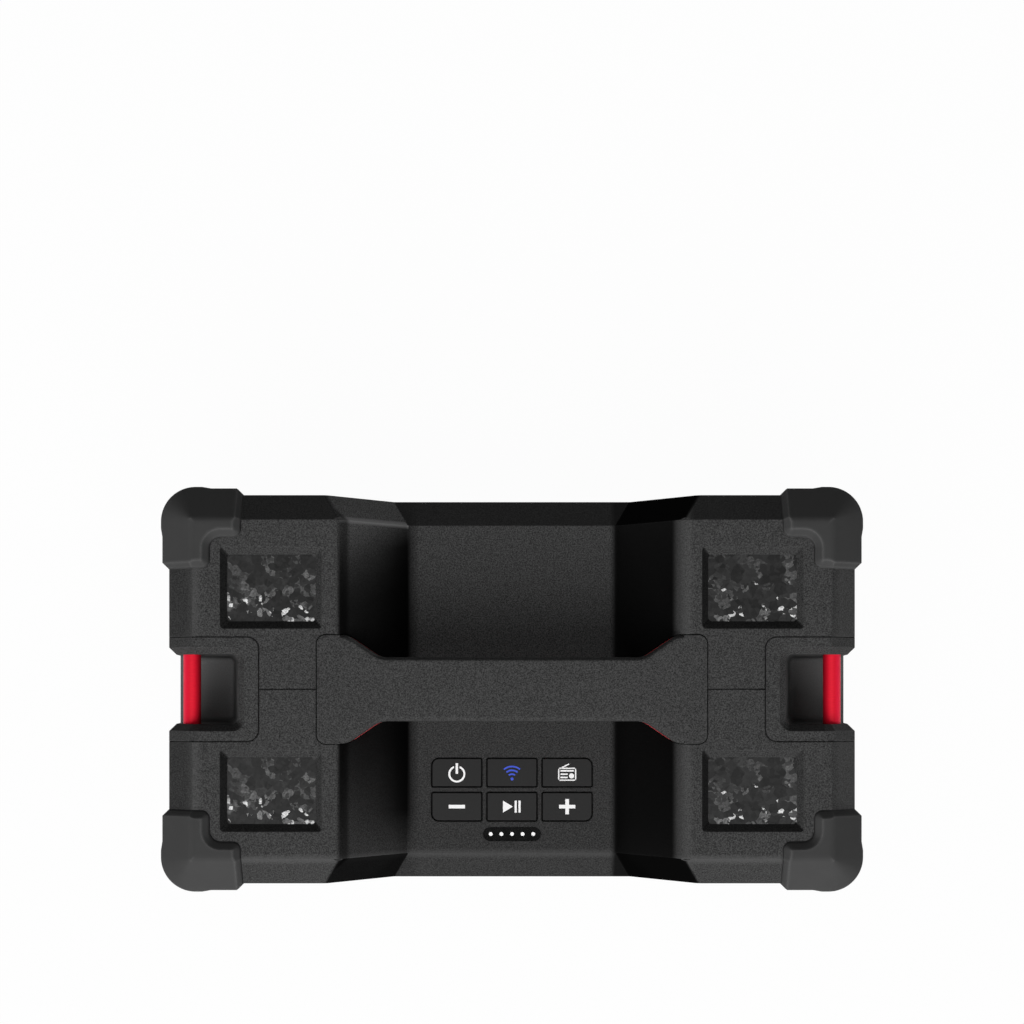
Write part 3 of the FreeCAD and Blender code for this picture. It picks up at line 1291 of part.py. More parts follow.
def make_grille():
    """A sheet with a round field of hexagon holes before each woofer."""
    corners = [Vector(value(x), 0, value(z)) for x, z in grille_outline("panel_gap")]
    outer = Part.makePolygon(corners + corners[:1])
    pitch, radius = value("mesh_pitch"), value("mesh_hole / sqrt(3)")
    reach = value("mesh_radius - mesh_hole / 2")
    count = int(reach / pitch * 2 / sqrt(3)) + 1
    hexagon = [Vector(radius * sin(radians(60 * i)), 0, radius * cos(radians(60 * i))) for i in range(7)]
    holes = []
    for word, side in SIDES:
        middle = Vector(value(f"{side} * woofer_x"), 0, value("woofer_z"))
        steps = [
            Vector((column + row % 2 / 2) * pitch, 0, row * pitch * sqrt(3) / 2)
            for row in range(-count, count + 1)
            for column in range(-count, count + 1)
        ]
        for step in steps:
            if step.Length <= reach:
                holes.append(Part.makePolygon([middle + step + corner for corner in hexagon]))
    sheet_face = Part.Face([outer] + holes)
    grille = doc.addObject("Part::Feature", "grille")
    grille.Shape = sheet_face.extrude(Vector(0, value("grille_thickness"), 0))
    place(grille, y=f"{FRONT} + grille_sunk")
    subpart(grille, "speaker_grille")


def ring(name, at, outline):
    """A turned piece standing at a driver's place, described in radius and height."""
    body = new_body(name, *at)
    revolve(body, outline)
    return body


def roll(name, at, base):
    """A surround: a half roll between two flat rims, lying on the height base."""
    tori = []
    for radius in ("roll_radius", "roll_radius - roll_thickness"):
        torus = doc.addObject("Part::Torus", name + "_torus")
        bind(torus, Radius1="roll_middle", Radius2=radius)
        place(torus, z=base)
        tori.append(torus)
    hollow = cut(name + "_hollow", tori[0], [tori[1]])
    slab = cylinder(name + "_slab", f"surround_seat + {CLEAR}", ("0", "0", base), "2 * roll_radius")
    half = common(name + "_half", hollow, slab)
    rims = new_body(name + "_rims")
    inner, outer = "roll_middle - roll_radius", "roll_middle + roll_radius"
    high = f"{base} + roll_thickness"
    revolve(rims, [(f"{outer} - roll_thickness", base), ("surround_seat", base),
                   ("surround_seat", high), (f"{outer} - roll_thickness", high)])
    lip = new_body(name + "_lip")
    revolve(lip, [("cone_mouth - cone_lip", base), (f"{inner} + roll_thickness", base),
                  (f"{inner} + roll_thickness", high), ("cone_mouth - cone_lip", high)])
    joined = fuse(name, [half, rims, lip])
    place(joined, *at)
    return joined


def basket_inner(depth):
    """Inner radius of the basket at a depth behind the baffle's face."""
    return f"(basket_mouth - basket_wall - ({depth}) * (basket_mouth - basket_floor) / {PLATE_DEPTH})"


PLATE_DEPTH = "(basket_depth - basket_floor_thickness)"
GAP_INNER = "(coil_radius - coil_wall - gap_clearance)"
GAP_OUTER = "(coil_radius + coil_winding + gap_clearance)"


def woofer_frame(name, at):
    """Flange with four screw ears, cone-shaped basket with six openings, and the upper pole plate."""
    body = new_body(name, *at)
    front, plate = "flange_thickness", "(magnet_radius - plate_margin)"
    ledge_foot = "(spider_depth + spider_ledge_thickness)"
    outline = [
        (basket_inner("0"), front), ("flange_radius", front), ("flange_radius", "0"), ("basket_mouth", "0"),
        ("basket_floor", f"-{PLATE_DEPTH}"), (plate, f"-{PLATE_DEPTH}"), (plate, "-basket_depth"),
        (GAP_OUTER, "-basket_depth"), (GAP_OUTER, f"-{PLATE_DEPTH}"),
        ("basket_floor - basket_wall", f"-{PLATE_DEPTH}"), (basket_inner(ledge_foot), f"-{ledge_foot}"),
        ("spider_ledge", f"-{ledge_foot}"), ("spider_ledge", "-spider_depth"),
        (basket_inner("spider_depth"), "-spider_depth"), (basket_inner("0"), "0"),
    ]
    revolve(body, outline)
    spots = [(f"ear_circle * cos({a} deg)", f"ear_circle * sin({a} deg)") for a in EAR_ANGLES]
    pad(body, sketch(body, "XY", circles=[(x, y, "ear_radius") for x, y in spots]), "flange_thickness")
    holes = body.newObject("PartDesign::Pocket", "EarHoles")
    holes.Profile = sketch(body, "XY", circles=[(x, y, "woofer_screw_radius + fit_gap") for x, y in spots])
    holes.Midplane = True
    bind(holes, Length="4 * flange_thickness")
    window = body.newObject("PartDesign::Pocket", "BasketWindow")
    half = "basket_window / 2"
    low, high = "-spider_depth + basket_window_margin", "-basket_window_margin"
    window.Profile = sketch(body, "XZ", [[(f"-{half}", low), (half, low), (half, high), (f"-{half}", high)]])
    window.Midplane = True
    bind(window, Length="2 * flange_radius")
    pattern = body.newObject("PartDesign::PolarPattern", "BasketWindows")
    pattern.Originals = [window]
    pattern.Axis = (next(f for f in body.Origin.OriginFeatures if f.Role == "Z_Axis"), [""])
    pattern.Angle = 120
    pattern.Occurrences = 3
    body.Tip = pattern
    return body


CONE_NECK = "(coil_radius + fit_gap)"
CONE_RIM = "(cone_mouth - cone_lip)"
CAP_FOOT = f"(flange_thickness - cone_depth * ({CONE_RIM} - cap_radius) / ({CONE_RIM} - {CONE_NECK}))"


def woofer_cone(name, at):
    """Paper cone with a flat rim and a domed dust cap."""
    front = "flange_thickness"
    body = new_body(name + "_paper")
    revolve(body, [
        ("cone_mouth", front), (CONE_RIM, front), (CONE_NECK, f"{front} - cone_depth"),
        (CONE_NECK, f"{front} - cone_depth - cone_neck_height"), (CONE_RIM, f"{front} - cone_thickness"),
        ("cone_mouth", f"{front} - cone_thickness"),
    ])
    dome_radius = "((cap_radius^2 + cap_rise^2) / 2 / cap_rise)"
    seat = f"({CAP_FOOT} - cone_thickness / 2)"
    shells = []
    for radius in (dome_radius, f"{dome_radius} - cone_thickness"):
        sphere = doc.addObject("Part::Sphere", name + "_sphere")
        bind(sphere, Radius=radius)
        place(sphere, z=f"{seat} + cap_rise - {dome_radius}")
        shells.append(sphere)
    hollow = cut(name + "_hollow", shells[0], [shells[1]])
    slab = cylinder(name + "_slab", "cap_radius", ("0", "0", seat), "2 * cap_rise")
    cap = common(name + "_cap", hollow, slab)
    joined = fuse(name, [body, cap])
    place(joined, *at)
    return joined


def spider_outline():
    """Rippled cloth from the coil to its ledge, as a zigzag of even thickness."""
    start, end = "(coil_radius + fit_gap)", "spider_ledge"
    middle = "(-spider_depth + spider_thickness)"
    wave = [
        (f"{start} + {n} * ({end} - {start}) / spider_steps", f"{middle} + {(-1) ** n} * spider_wave / 2")
        for n in range(1, int(value("spider_steps")))
    ]
    lower = [(start, "-spider_depth")] + wave + [(end, "-spider_depth"), ("spider_outer", "-spider_depth")]
    return lower + [(r, f"{z} + spider_thickness") for r, z in reversed(lower)]


def coil_outline():
    """A thin former with the wire wound round its lower part. Its upper end stays below the dust cap."""
    top = f"min(flange_thickness - coil_top; {CAP_FOOT} - 2 * cone_thickness)"
    foot = f"({top} - coil_length)"
    winding_foot = f"({foot} + winding_rise)"
    winding_top = f"({winding_foot} + winding_length)"
    inner, outer = "(coil_radius - coil_wall)", "(coil_radius + coil_winding)"
    return [
        (inner, foot), ("coil_radius", foot), ("coil_radius", winding_foot), (outer, winding_foot),
        (outer, winding_top), ("coil_radius", winding_top), ("coil_radius", top), (inner, top),
    ]


MAGNET_FOOT = "(-basket_depth - magnet_thickness)"


def yoke_outline():
    """The back plate and the pole that stands on it, inside the coil."""
    foot = f"({MAGNET_FOOT} - yoke_thickness)"
    pole_top = f"(-{PLATE_DEPTH} - pole_drop)"
    return [
        ("0", foot), ("yoke_radius", foot), ("yoke_radius", MAGNET_FOOT), (GAP_INNER, MAGNET_FOOT),
        (GAP_INNER, pole_top), ("0", pole_top),
    ]


def magnet_outline():
    hole = f"({GAP_OUTER} + magnet_clearance)"
    return [
        (hole, MAGNET_FOOT), ("magnet_radius", MAGNET_FOOT), ("magnet_radius", "-basket_depth"),
        (hole, "-basket_depth"),
    ]


def make_woofers():
    """Two equal woofers, described in radius and height, facing the front."""
    for word, side in SIDES:
        at = (f"{side} * woofer_x", BAFFLE_FACE, "woofer_z", ((1, 0, 0), 90))
        subpart(woofer_frame("frame_form", at), f"woofer_frame_{word}")
        subpart(ring("magnet_form", at, magnet_outline()), f"woofer_magnet_{word}")
        subpart(ring("yoke_form", at, yoke_outline()), f"woofer_yoke_{word}")
        subpart(woofer_cone("cone_form", at), f"woofer_cone_{word}")
        subpart(ring("coil_form", at, coil_outline()), f"woofer_voice_coil_{word}")
        subpart(roll("surround_form", at, "flange_thickness"), f"woofer_surround_{word}")
        subpart(ring("spider_form", at, spider_outline()), f"woofer_spider_{word}")


def make_woofer_screws():
    """Four screws to a woofer, through its flange into the baffle."""
    face = f"({BAFFLE_FACE} - flange_thickness)"
    head = f"({face} - woofer_screw_head_height)"
    screws = []
    for x, z in ear_places(-1) + ear_places(1):
        screws += [
            cylinder("woofer_shank", "woofer_screw_radius", (x, face, z), "woofer_screw_reach", along="y"),
            cylinder("woofer_head", "woofer_screw_head", (x, head, z), "woofer_screw_head_height", along="y"),
        ]
    subpart(fuse("woofer_screw_group", screws), "woofer_screws")


def make_passive_radiator():
    """A weighted disc on a surround, which breathes through the slots in the rear wall."""
    at = ("0", f"{REAR} - wall - radiator_setback", "radiator_z", ((1, 0, 0), -90))
    seat = "(basket_mouth - basket_wall)"
    upright = "(radiator_ring - radiator_ring_wall)"
    frame = [
        (seat, "-radiator_disc"), ("radiator_ring", "-radiator_disc"), ("radiator_ring", "radiator_setback"),
        (upright, "radiator_setback"), (upright, "0"), (seat, "0"),
    ]
    weight, weight_foot = "radiator_weight_radius", "(-radiator_disc - radiator_weight)"
    disc = [
        ("0", weight_foot), (weight, weight_foot), (weight, "-radiator_disc"),
        ("cone_mouth", "-radiator_disc"), ("cone_mouth", "0"), ("0", "0"),
    ]
    subpart(ring("passive_frame_form", at, frame), "passive_frame")
    subpart(ring("passive_cone_form", at, disc), "passive_cone")
    subpart(roll("passive_surround_form", at, "0"), "passive_surround")


# Rear ports

def make_port_cover():
    """The cover with its knuckle, and the pin that it turns on."""
    across = ("port_x - cover_length / 2", "port_x + cover_length / 2")
    hinge_foot = "port_x - hinge_length / 2"
    between_ends = (hinge_foot, "port_x + hinge_length / 2")
    skin = (f"{REAR} - cover_thickness", REAR)
    cover_top = "port_z + cover_height / 2"
    pieces = [
        box("cover_plate", across, skin, ("port_z - cover_height / 2", COVER_SHOULDER)),
        box("cover_tab", between_ends, skin, (COVER_SHOULDER, cover_top)),
        box("cover_neck", between_ends, (skin[0], HINGE_Y), (cover_top, HINGE_Z)),
        cylinder("cover_knuckle", "knuckle_radius", (hinge_foot, HINGE_Y, HINGE_Z), "hinge_length", "x"),
    ]
    bore = cylinder("knuckle_bore", "hinge_pin_radius + fit_gap",
                    (f"{hinge_foot} - {CLEAR}", HINGE_Y, HINGE_Z), f"hinge_length + 2 * {CLEAR}", "x")
    subpart(cut("port_cover_form", fuse("cover_group", pieces), [bore]), "port_cover")
    pin_foot = ("port_x - hinge_pin_length / 2", HINGE_Y, HINGE_Z)
    subpart(cylinder("hinge_pin", "hinge_pin_radius", pin_foot, "hinge_pin_length", "x"), "port_hinge_pin")


PANEL_BACK = f"({BAY_FLOOR} - port_panel_thickness)"
SOCKET_MOUTH = f"({BAY_FLOOR} + socket_proud)"
JACK_X = "(port_x - socket_spread / 2)"
CHARGE_X = "(port_x + socket_spread / 2)"


def socket_block(name, x):
    """A socket's housing, between the main board and the plate."""
    return box(name, (f"{x} - socket_block / 2", f"{x} + socket_block / 2"), (BOARD_FACE, PANEL_BACK),
               ("port_z - socket_block_height / 2", "port_z + socket_block_height / 2"))


def charge_slot(name, shrink, from_y, to_y):
    """The charging socket's flat mouth, drawn in by shrink."""
    half_x = f"(charge_length / 2 - ({shrink}))"
    half_z = f"(charge_height / 2 - ({shrink}))"
    return box(name, (f"{CHARGE_X} - {half_x}", f"{CHARGE_X} + {half_x}"), (from_y, to_y),
               (f"port_z - {half_z}", f"port_z + {half_z}"))


def make_port_panel():
    """The plate behind the bay, with a hole for each socket."""
    plate = box(
        "port_plate",
        ("port_x - bay_length / 2 - port_panel_margin", "port_x + bay_length / 2 + port_panel_margin"),
        (PANEL_BACK, BAY_FLOOR),
        ("port_z - bay_height / 2 - port_panel_margin", "port_z + bay_height / 2 + port_panel_margin"),
    )
    jack_hole = cylinder("jack_hole", "jack_radius + fit_gap", (JACK_X, f"{PANEL_BACK} - {CLEAR}", "port_z"),
                         f"port_panel_thickness + 2 * {CLEAR}", "y")
    charge_hole = charge_slot("charge_hole", "-fit_gap", f"{PANEL_BACK} - {CLEAR}", f"{BAY_FLOOR} + {CLEAR}")
    subpart(cut("port_panel_form", plate, [jack_hole, charge_hole]), "port_panel")


def make_sockets():
    """A round audio socket, and a flat charging socket with its tongue."""
    collar = cylinder("jack_collar", "jack_radius", (JACK_X, PANEL_BACK, "port_z"),
                      f"{SOCKET_MOUTH} - {PANEL_BACK}", "y")
    bore_floor = f"({BOARD_FACE} + socket_wall)"
    bore = cylinder("jack_bore", "jack_bore", (JACK_X, bore_floor, "port_z"),
                    f"{SOCKET_MOUTH} + {CLEAR} - {bore_floor}", "y")
    jack = fuse("jack_group", [socket_block("jack_block", JACK_X), collar])
    subpart(cut("aux_socket_form", jack, [bore]), "aux_socket")
    floor = f"{PANEL_BACK} - socket_reach / 2"
    nose = charge_slot("charge_nose", "0", PANEL_BACK, SOCKET_MOUTH)
    hollow = charge_slot("charge_hollow", "socket_wall", floor, f"{SOCKET_MOUTH} + {CLEAR}")
    tongue = charge_slot("charge_tongue", "tongue_set_in", floor, f"{SOCKET_MOUTH} - socket_wall")
    block = fuse("charge_group", [socket_block("charge_block", CHARGE_X), nose])
    subpart(fuse("charge_socket_form", [cut("charge_shell", block, [hollow]), tongue]), "charge_socket")


# Inside

def make_battery():
    """A pack on the floor, clear of the housing's lower bevel."""
    x = f"-({SIDE} - battery_side_margin - battery_length / 2)"
    y = f"{REAR} - edge_chamfer - battery_breadth / 2"
    body = new_body("battery_form", x, y, f"{BOTTOM} + wall")
    pad(body, sketch(body, "XY", [rectangle("battery_length", "battery_breadth")]), "battery_height")
    half, high = value("battery_breadth / 2"), value("battery_height")
    dress(body, "Fillet", "battery_round",
          lambda mid, way: along_x(way) and near(abs(mid.y), half) and (near(mid.z, 0) or near(mid.z, high)))
    subpart(body, "battery_pack")


def make_main_board():
    """The board behind the sockets, with a heat sink, capacitors and a processor on its inner face."""
    board_z = "(port_z + main_board_rise)"
    board_top = f"({board_z} + main_board_height / 2)"
    back = f"({BOARD_FACE} - board_thickness)"
    board_left = "port_x - main_board_length / 2"
    pieces = [box(
        "main_board_plate",
        (board_left, "port_x + main_board_length / 2"),
        (back, BOARD_FACE),
        (f"{board_z} - main_board_height / 2", board_top),
    )]
    sink_x = ("port_x - heat_sink_side / 2", "port_x + heat_sink_side / 2")
    sink_z = (f"{board_top} - 1.5 * heat_sink_side", f"{board_top} - heat_sink_side / 2")
    fin_y = (f"{back} - heat_sink_height", back)
    pieces.append(box("sink_base", sink_x, (f"{back} - sink_base", back), sink_z))
    for number in range(int(value("heat_sink_side / fin_pitch")) + 1):
        x = f"{sink_x[0]} + {number} * fin_pitch"
        pieces.append(box("sink_fin", (x, f"{x} + fin_thickness"), fin_y, sink_z))
    for number in range(int(value("capacitor_count"))):
        foot = (f"{board_left} + {number + 1} * capacitor_pitch", f"{back} - capacitor_height",
                f"{board_z} - capacitor_drop")
        pieces.append(cylinder("capacitor", "capacitor_radius", foot, "capacitor_height", "y"))
    chip_foot = f"({board_z} - chip_drop)"
    pieces.append(box("processor", ("port_x - chip_side / 2", "port_x + chip_side / 2"),
                      (f"{back} - chip_thickness", back), (chip_foot, f"{chip_foot} + chip_side")))
    subpart(fuse("main_board_form", pieces), "main_board")


def make_antenna():
    """The radio's aerial, a strip of foil under one window's tray."""
    edge = f"({BEZEL_INNER_X} - bezel_lip - antenna_gap)"
    strip = box(
        "aerial",
        (f"-{edge}", f"-{edge} + antenna_breadth"),
        ("antenna_front_margin", f"{REAR} - antenna_rear_margin"),
        (f"{TRAY_BOTTOM} - antenna_thickness", TRAY_BOTTOM),
    )
    subpart(strip, "fm_antenna")


def main():
    outside = housing_form("outside", "0")
    inside = housing_form("inside", "wall")
    skin = cut("skin", outside, [inside])
    handle_bores = make_handle()
    make_front_shell(skin, outside, handle_bores)
    make_rear_shell(skin, outside, handle_bores)
    make_shell_screws()
    for word, side in SIDES:
        make_strap_anchor(word, side, outside)
    make_bumpers()
    make_inlays()
    for name, column, row in BUTTON_GRID:
        make_button(name, column, row)
    make_key_board()
    make_lights()
    make_grille()
    make_woofers()
    make_woofer_screws()
    make_passive_radiator()
    make_port_cover()
    make_port_panel()
    make_sockets()
    make_battery()
    make_main_board()
    make_antenna()


main()
doc.recompute()
broken = [thing.Name for thing in doc.Objects if {"Invalid", "Error"} & set(thing.State)]
if broken:
    raise SystemExit(f"these features failed: {broken}")
for thing in subparts:
    if thing.Shape.isNull() or not thing.Shape.isValid():
        raise SystemExit(f"{thing.Label} has no valid shape")
os.makedirs("parts", exist_ok=True)
for thing in subparts:
    thing.Shape.exportStep(f"parts/{thing.Label}.step")
    print(thing.Label, len(thing.Shape.Solids), round(thing.Shape.Volume))
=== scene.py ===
# %% [markdown]
# # A rugged wireless speaker, seen from straight above
#
# The frame that the CAD model gives is loaded first. Every CAD piece keeps its shape and its place in
# metres, and gets its finish here. At the end the box round all the pieces is measured.

import json
import math
from types import SimpleNamespace

import bmesh
import bpy
from mathutils import Matrix, Vector


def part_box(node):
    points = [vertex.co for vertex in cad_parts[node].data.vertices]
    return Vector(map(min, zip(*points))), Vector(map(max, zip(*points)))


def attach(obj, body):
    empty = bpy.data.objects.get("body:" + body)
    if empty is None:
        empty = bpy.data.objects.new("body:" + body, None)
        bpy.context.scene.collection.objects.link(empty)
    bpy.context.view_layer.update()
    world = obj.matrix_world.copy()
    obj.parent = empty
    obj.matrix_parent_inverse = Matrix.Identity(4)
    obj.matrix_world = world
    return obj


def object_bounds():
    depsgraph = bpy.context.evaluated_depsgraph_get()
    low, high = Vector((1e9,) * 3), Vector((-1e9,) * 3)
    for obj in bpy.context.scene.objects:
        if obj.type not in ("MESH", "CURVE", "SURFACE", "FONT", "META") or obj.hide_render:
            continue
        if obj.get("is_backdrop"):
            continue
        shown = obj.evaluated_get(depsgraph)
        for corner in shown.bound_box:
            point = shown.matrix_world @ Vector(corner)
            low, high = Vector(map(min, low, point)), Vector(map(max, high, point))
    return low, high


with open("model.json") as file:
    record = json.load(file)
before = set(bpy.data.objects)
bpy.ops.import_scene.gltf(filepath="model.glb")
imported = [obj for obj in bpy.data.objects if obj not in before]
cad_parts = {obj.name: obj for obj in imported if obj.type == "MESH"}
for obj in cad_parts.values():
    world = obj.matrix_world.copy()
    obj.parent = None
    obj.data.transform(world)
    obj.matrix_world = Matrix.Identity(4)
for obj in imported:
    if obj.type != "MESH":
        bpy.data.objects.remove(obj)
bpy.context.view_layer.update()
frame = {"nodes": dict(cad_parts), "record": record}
print("pieces in the frame:", len(frame["nodes"]))

# %% [markdown]
# ## The camera
#
# The picture is taken from straight above, with the back of the speaker at the top. How much smaller
# the lower deck looks than the raised ends gives the height of the lens: about 1.67 m above the
# ground. The speaker stands low in the picture, so the lens is shifted and not tilted, which keeps
# every upright side upright.

# %% Camera
CAMERA_HEIGHT = 1.668
SENSOR = 36.0
LENS = 106.9
SHIFT = 0.1731

camera_data = bpy.data.cameras.new("camera_above")
camera_data.sensor_width = SENSOR
camera_data.lens = LENS
camera_data.shift_y = SHIFT
camera = bpy.data.objects.new("camera_above", camera_data)
camera.location = (0.0, 0.0, CAMERA_HEIGHT)
bpy.context.scene.collection.objects.link(camera)
bpy.context.scene.camera = camera
print("lens", LENS, "mm at", CAMERA_HEIGHT, "m")

# %% [markdown]
# ## Colours and shader nodes
#
# Colours are written as they are picked from a picture, in sRGB hex, and one function turns them to
# the linear numbers that a shader works with. One more adds a node with its settings and its links,
# so that a finish reads as a short list of nodes. Every finish starts from the piece's own
# coordinates and ends in one shader, which takes a colour, a roughness and a relief.

# %% Helpers for materials
MM = 0.001


def linear(code):
    """The linear colour of an sRGB hex code."""
    shares = [int(code[i:i + 2], 16) / 255 for i in (1, 3, 5)]
    return tuple(s / 12.92 if s <= 0.04045 else ((s + 0.055) / 1.055) ** 2.4 for s in shares) + (1.0,)


def add(tree, kind, inputs=None, **settings):
    """Add a shader node. An input takes a number, a colour, a socket, or a node for its first output."""
    node = tree.nodes.new("ShaderNode" + kind)
    for name, setting in settings.items():
        setattr(node, name, setting)
    for name, source in (inputs or {}).items():
        if isinstance(source, bpy.types.Node):
            source = source.outputs[0]
        if isinstance(source, bpy.types.NodeSocket):
            tree.links.new(source, node.inputs[name])
        else:
            node.inputs[name].default_value = source
    return node


def start(name):
    """A new material, its empty tree, and the piece's own coordinates in metres."""
    material = bpy.data.materials.new(name)
    material.use_nodes = True
    tree = material.node_tree
    tree.nodes.clear()
    return material, tree, add(tree, "TexCoord").outputs["Object"]


def close(tree, colour, roughness, bumps, **constants):
    """End a material in a shader with a colour, a roughness, a relief and its constants."""
    inputs = {key.replace("_", " "): amount for key, amount in constants.items()}
    inputs.update({"Base Color": colour, "Roughness": roughness, "Normal": bumps})
    add(tree, "OutputMaterial", {"Surface": add(tree, "BsdfPrincipled", inputs)})


print("grey #808080 in linear numbers:", [round(part, 3) for part in linear("#808080")])

# %% [markdown]
# ## Floor, world and lamps
#
# The floor is a wide pale disc. What the camera, a mirror or glass sees of it is lifted nearly to
# white, and a faint shadow stays. The world is an even grey that grows pale towards the horizon, as a
# studio's sweep does.
#
# Slopes that face the front are a little brighter than the top, slopes that face the back are a third
# as bright, and the left is a little brighter than the right. That is one very large soft box high in
# front, which also lets light in under the handle, and a weak one overhead on the left, which isn't
# mirrored, so the dark window stays dark. Two more, on the right and low behind, only keep those
# sides from going black.

# %% Floor and world
FLOOR_RADIUS = 30.0
SEEN_AS_WHITE = 0.97
HORIZON = 0.06


def as_object(shape, name, material):
    """Turn a finished shape into an object with one material, and put it in the scene."""
    data = bpy.data.meshes.new(name)
    shape.to_mesh(data)
    shape.free()
    data.materials.append(material)
    piece = bpy.data.objects.new(name, data)
    bpy.context.scene.collection.objects.link(piece)
    return piece


floor_paint = bpy.data.materials.new("studio_floor_paint")
floor_paint.use_nodes = True
tree = floor_paint.node_tree
tree.nodes.clear()
ray = add(tree, "LightPath").outputs
seen = add(tree, "Math", {0: ray["Is Camera Ray"], 1: ray["Is Glossy Ray"]}, operation="MAXIMUM")
seen = add(tree, "Math", {0: seen, 1: ray["Is Transmission Ray"]}, operation="MAXIMUM")
lift = add(tree, "Math", {0: seen, 1: SEEN_AS_WHITE}, operation="MULTIPLY")
matt = add(tree, "BsdfDiffuse", {"Color": linear("#d8d8d8")})
white = add(tree, "Emission", {"Color": linear("#ffffff"), "Strength": 1.0})
add(tree, "OutputMaterial", {"Surface": add(tree, "MixShader", {0: lift, 1: matt, 2: white})})

disc_of_floor = bmesh.new()
bmesh.ops.create_circle(disc_of_floor, cap_ends=True, segments=96, radius=FLOOR_RADIUS)
floor = as_object(disc_of_floor, "studio_floor", floor_paint)
floor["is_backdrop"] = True

world = bpy.data.worlds.new("studio")
world.use_nodes = True
bpy.context.scene.world = world
tree = world.node_tree
tree.nodes.clear()
way = add(tree, "SeparateXYZ", {0: add(tree, "TexCoord").outputs["Generated"]}).outputs
shade = add(tree, "MapRange", {"Value": way["Z"], "From Min": 0.0, "From Max": HORIZON,
                               "To Min": 0.3, "To Max": 0.06}, interpolation_type="SMOOTHSTEP")
add(tree, "OutputWorld", {"Surface": add(tree, "Background", {"Color": shade, "Strength": 1.0})})
print("floor", 2 * FLOOR_RADIUS, "m across")

# %% Lamps
AIM = Vector((0.0, 0.0, 0.15))


def lamp(name, place, size, power):
    """A square soft box that looks at the middle of the speaker."""
    data = bpy.data.lights.new(name, "AREA")
    data.size = size
    data.energy = power
    box = bpy.data.objects.new(name, data)
    box.location = place
    box.rotation_euler = (AIM - Vector(place)).to_track_quat("-Z", "Y").to_euler()
    bpy.context.scene.collection.objects.link(box)
    return box


lamp("key_in_front", (-0.25, -2.2, 3.3), 3.2, 158.0)
overhead = lamp("soft_box_overhead", (-0.4, -0.1, 1.9), 0.6, 7.0)
overhead.visible_glossy = False
lamp("soft_box_on_the_right", (2.0, -0.25, 1.2), 0.8, 1.5)
lamp("soft_box_behind", (0.7, 2.6, 0.3), 1.0, 10.0)

bpy.context.scene.view_settings.view_transform = "Standard"

# %% [markdown]
# ## Housing: moulded ABS with a spark-eroded grain
#
# The two shells, the cap of the handle and the panels of the strap anchors are injection-moulded in
# black ABS. The mould is spark-eroded, which leaves a fine even grain with peaks about 0.1 mm apart.
# It is drawn at 0.58 mm, because nothing finer shows at this distance. The grain scatters the light,
# so the plastic looks dark grey and dry, with hardly any gloss.
#
# The finish is built in short steps. Each takes the colour so far, paints over it on some of the
# faces and hands it on, so a step can be left out without touching the others. They ask the same few
# things of a point: where it lies, how its face leans, whether it looks up, and how much it leans two
# ways at once. A share between 0 and 1 says how strongly one thing holds, and the product of some
# shares says where all of them do.

# %% Helpers for finishes that change over a piece
def read_point(tree, spot):
    """Where a point lies and how its face leans, read once for all the steps."""
    place = add(tree, "SeparateXYZ", {0: spot}).outputs
    normal = add(tree, "NewGeometry").outputs["Normal"]
    lean = add(tree, "SeparateXYZ", {0: normal}).outputs
    upward = add(tree, "MapRange", {"Value": lean["Z"], "From Min": 0.2, "From Max": 0.3})
    across = add(tree, "Math", {0: lean["X"], 1: lean["Y"]}, operation="MULTIPLY")
    return SimpleNamespace(place=place, normal=normal, lean=lean, upward=upward, across=across)


def paint_where(tree, colour, code, *shares):
    """Paint over a colour where all the shares hold."""
    share = shares[0]
    for other in shares[1:]:
        share = add(tree, "Math", {0: share, 1: other}, operation="MULTIPLY")
    return add(tree, "Mix", {0: share, 6: colour, 7: linear(code)}, data_type="RGBA").outputs[2]


def curve_over(tree, value, low, high, stops):
    """A curve over a value between low and high, through stops of value and result."""
    share = add(tree, "MapRange", {"Value": value, "From Min": low, "From Max": high})
    curve = add(tree, "ValToRGB", {0: share})
    points = curve.color_ramp.elements
    while len(points) < len(stops):
        points.new(0.5)
    for point, (at, result) in zip(points, stops):
        point.position = (at - low) / (high - low)
        point.color = (result, result, result, 1.0)
    return curve


# %% [markdown]
# ### Grain, painted highlights on folds and painted shade at seams
#
# The grain is a noise in two greys, under wide clouds of dust. A Bevel node gives the normal that a rounded
# edge would have. It differs from the true one only near an edge, so their product finds the edges. Folds
# get a painted highlight and go paler. Where a level face ends in a square edge there is a seam, and
# painted shade is drawn along it as a dark line.

# %% Grain and edges
GRAIN = 0.58 * MM
DUST_CLOUD = 35 * MM
EDGE = 0.8 * MM


def grain_tones(tree, spot, peaks):
    """Two greys for the valleys and the peaks of the grain, under clouds of dust."""
    clouds = add(tree, "TexNoise", {"Vector": spot, "Scale": 1 / DUST_CLOUD, "Detail": 3.0})
    dusty = add(tree, "MapRange", {"Value": clouds, "To Min": 0.92, "To Max": 1.08})
    speckled = paint_where(tree, linear("#202020"), "#4d4d4d", peaks)
    return add(tree, "VectorMath", {0: speckled, "Scale": dusty}, operation="SCALE")


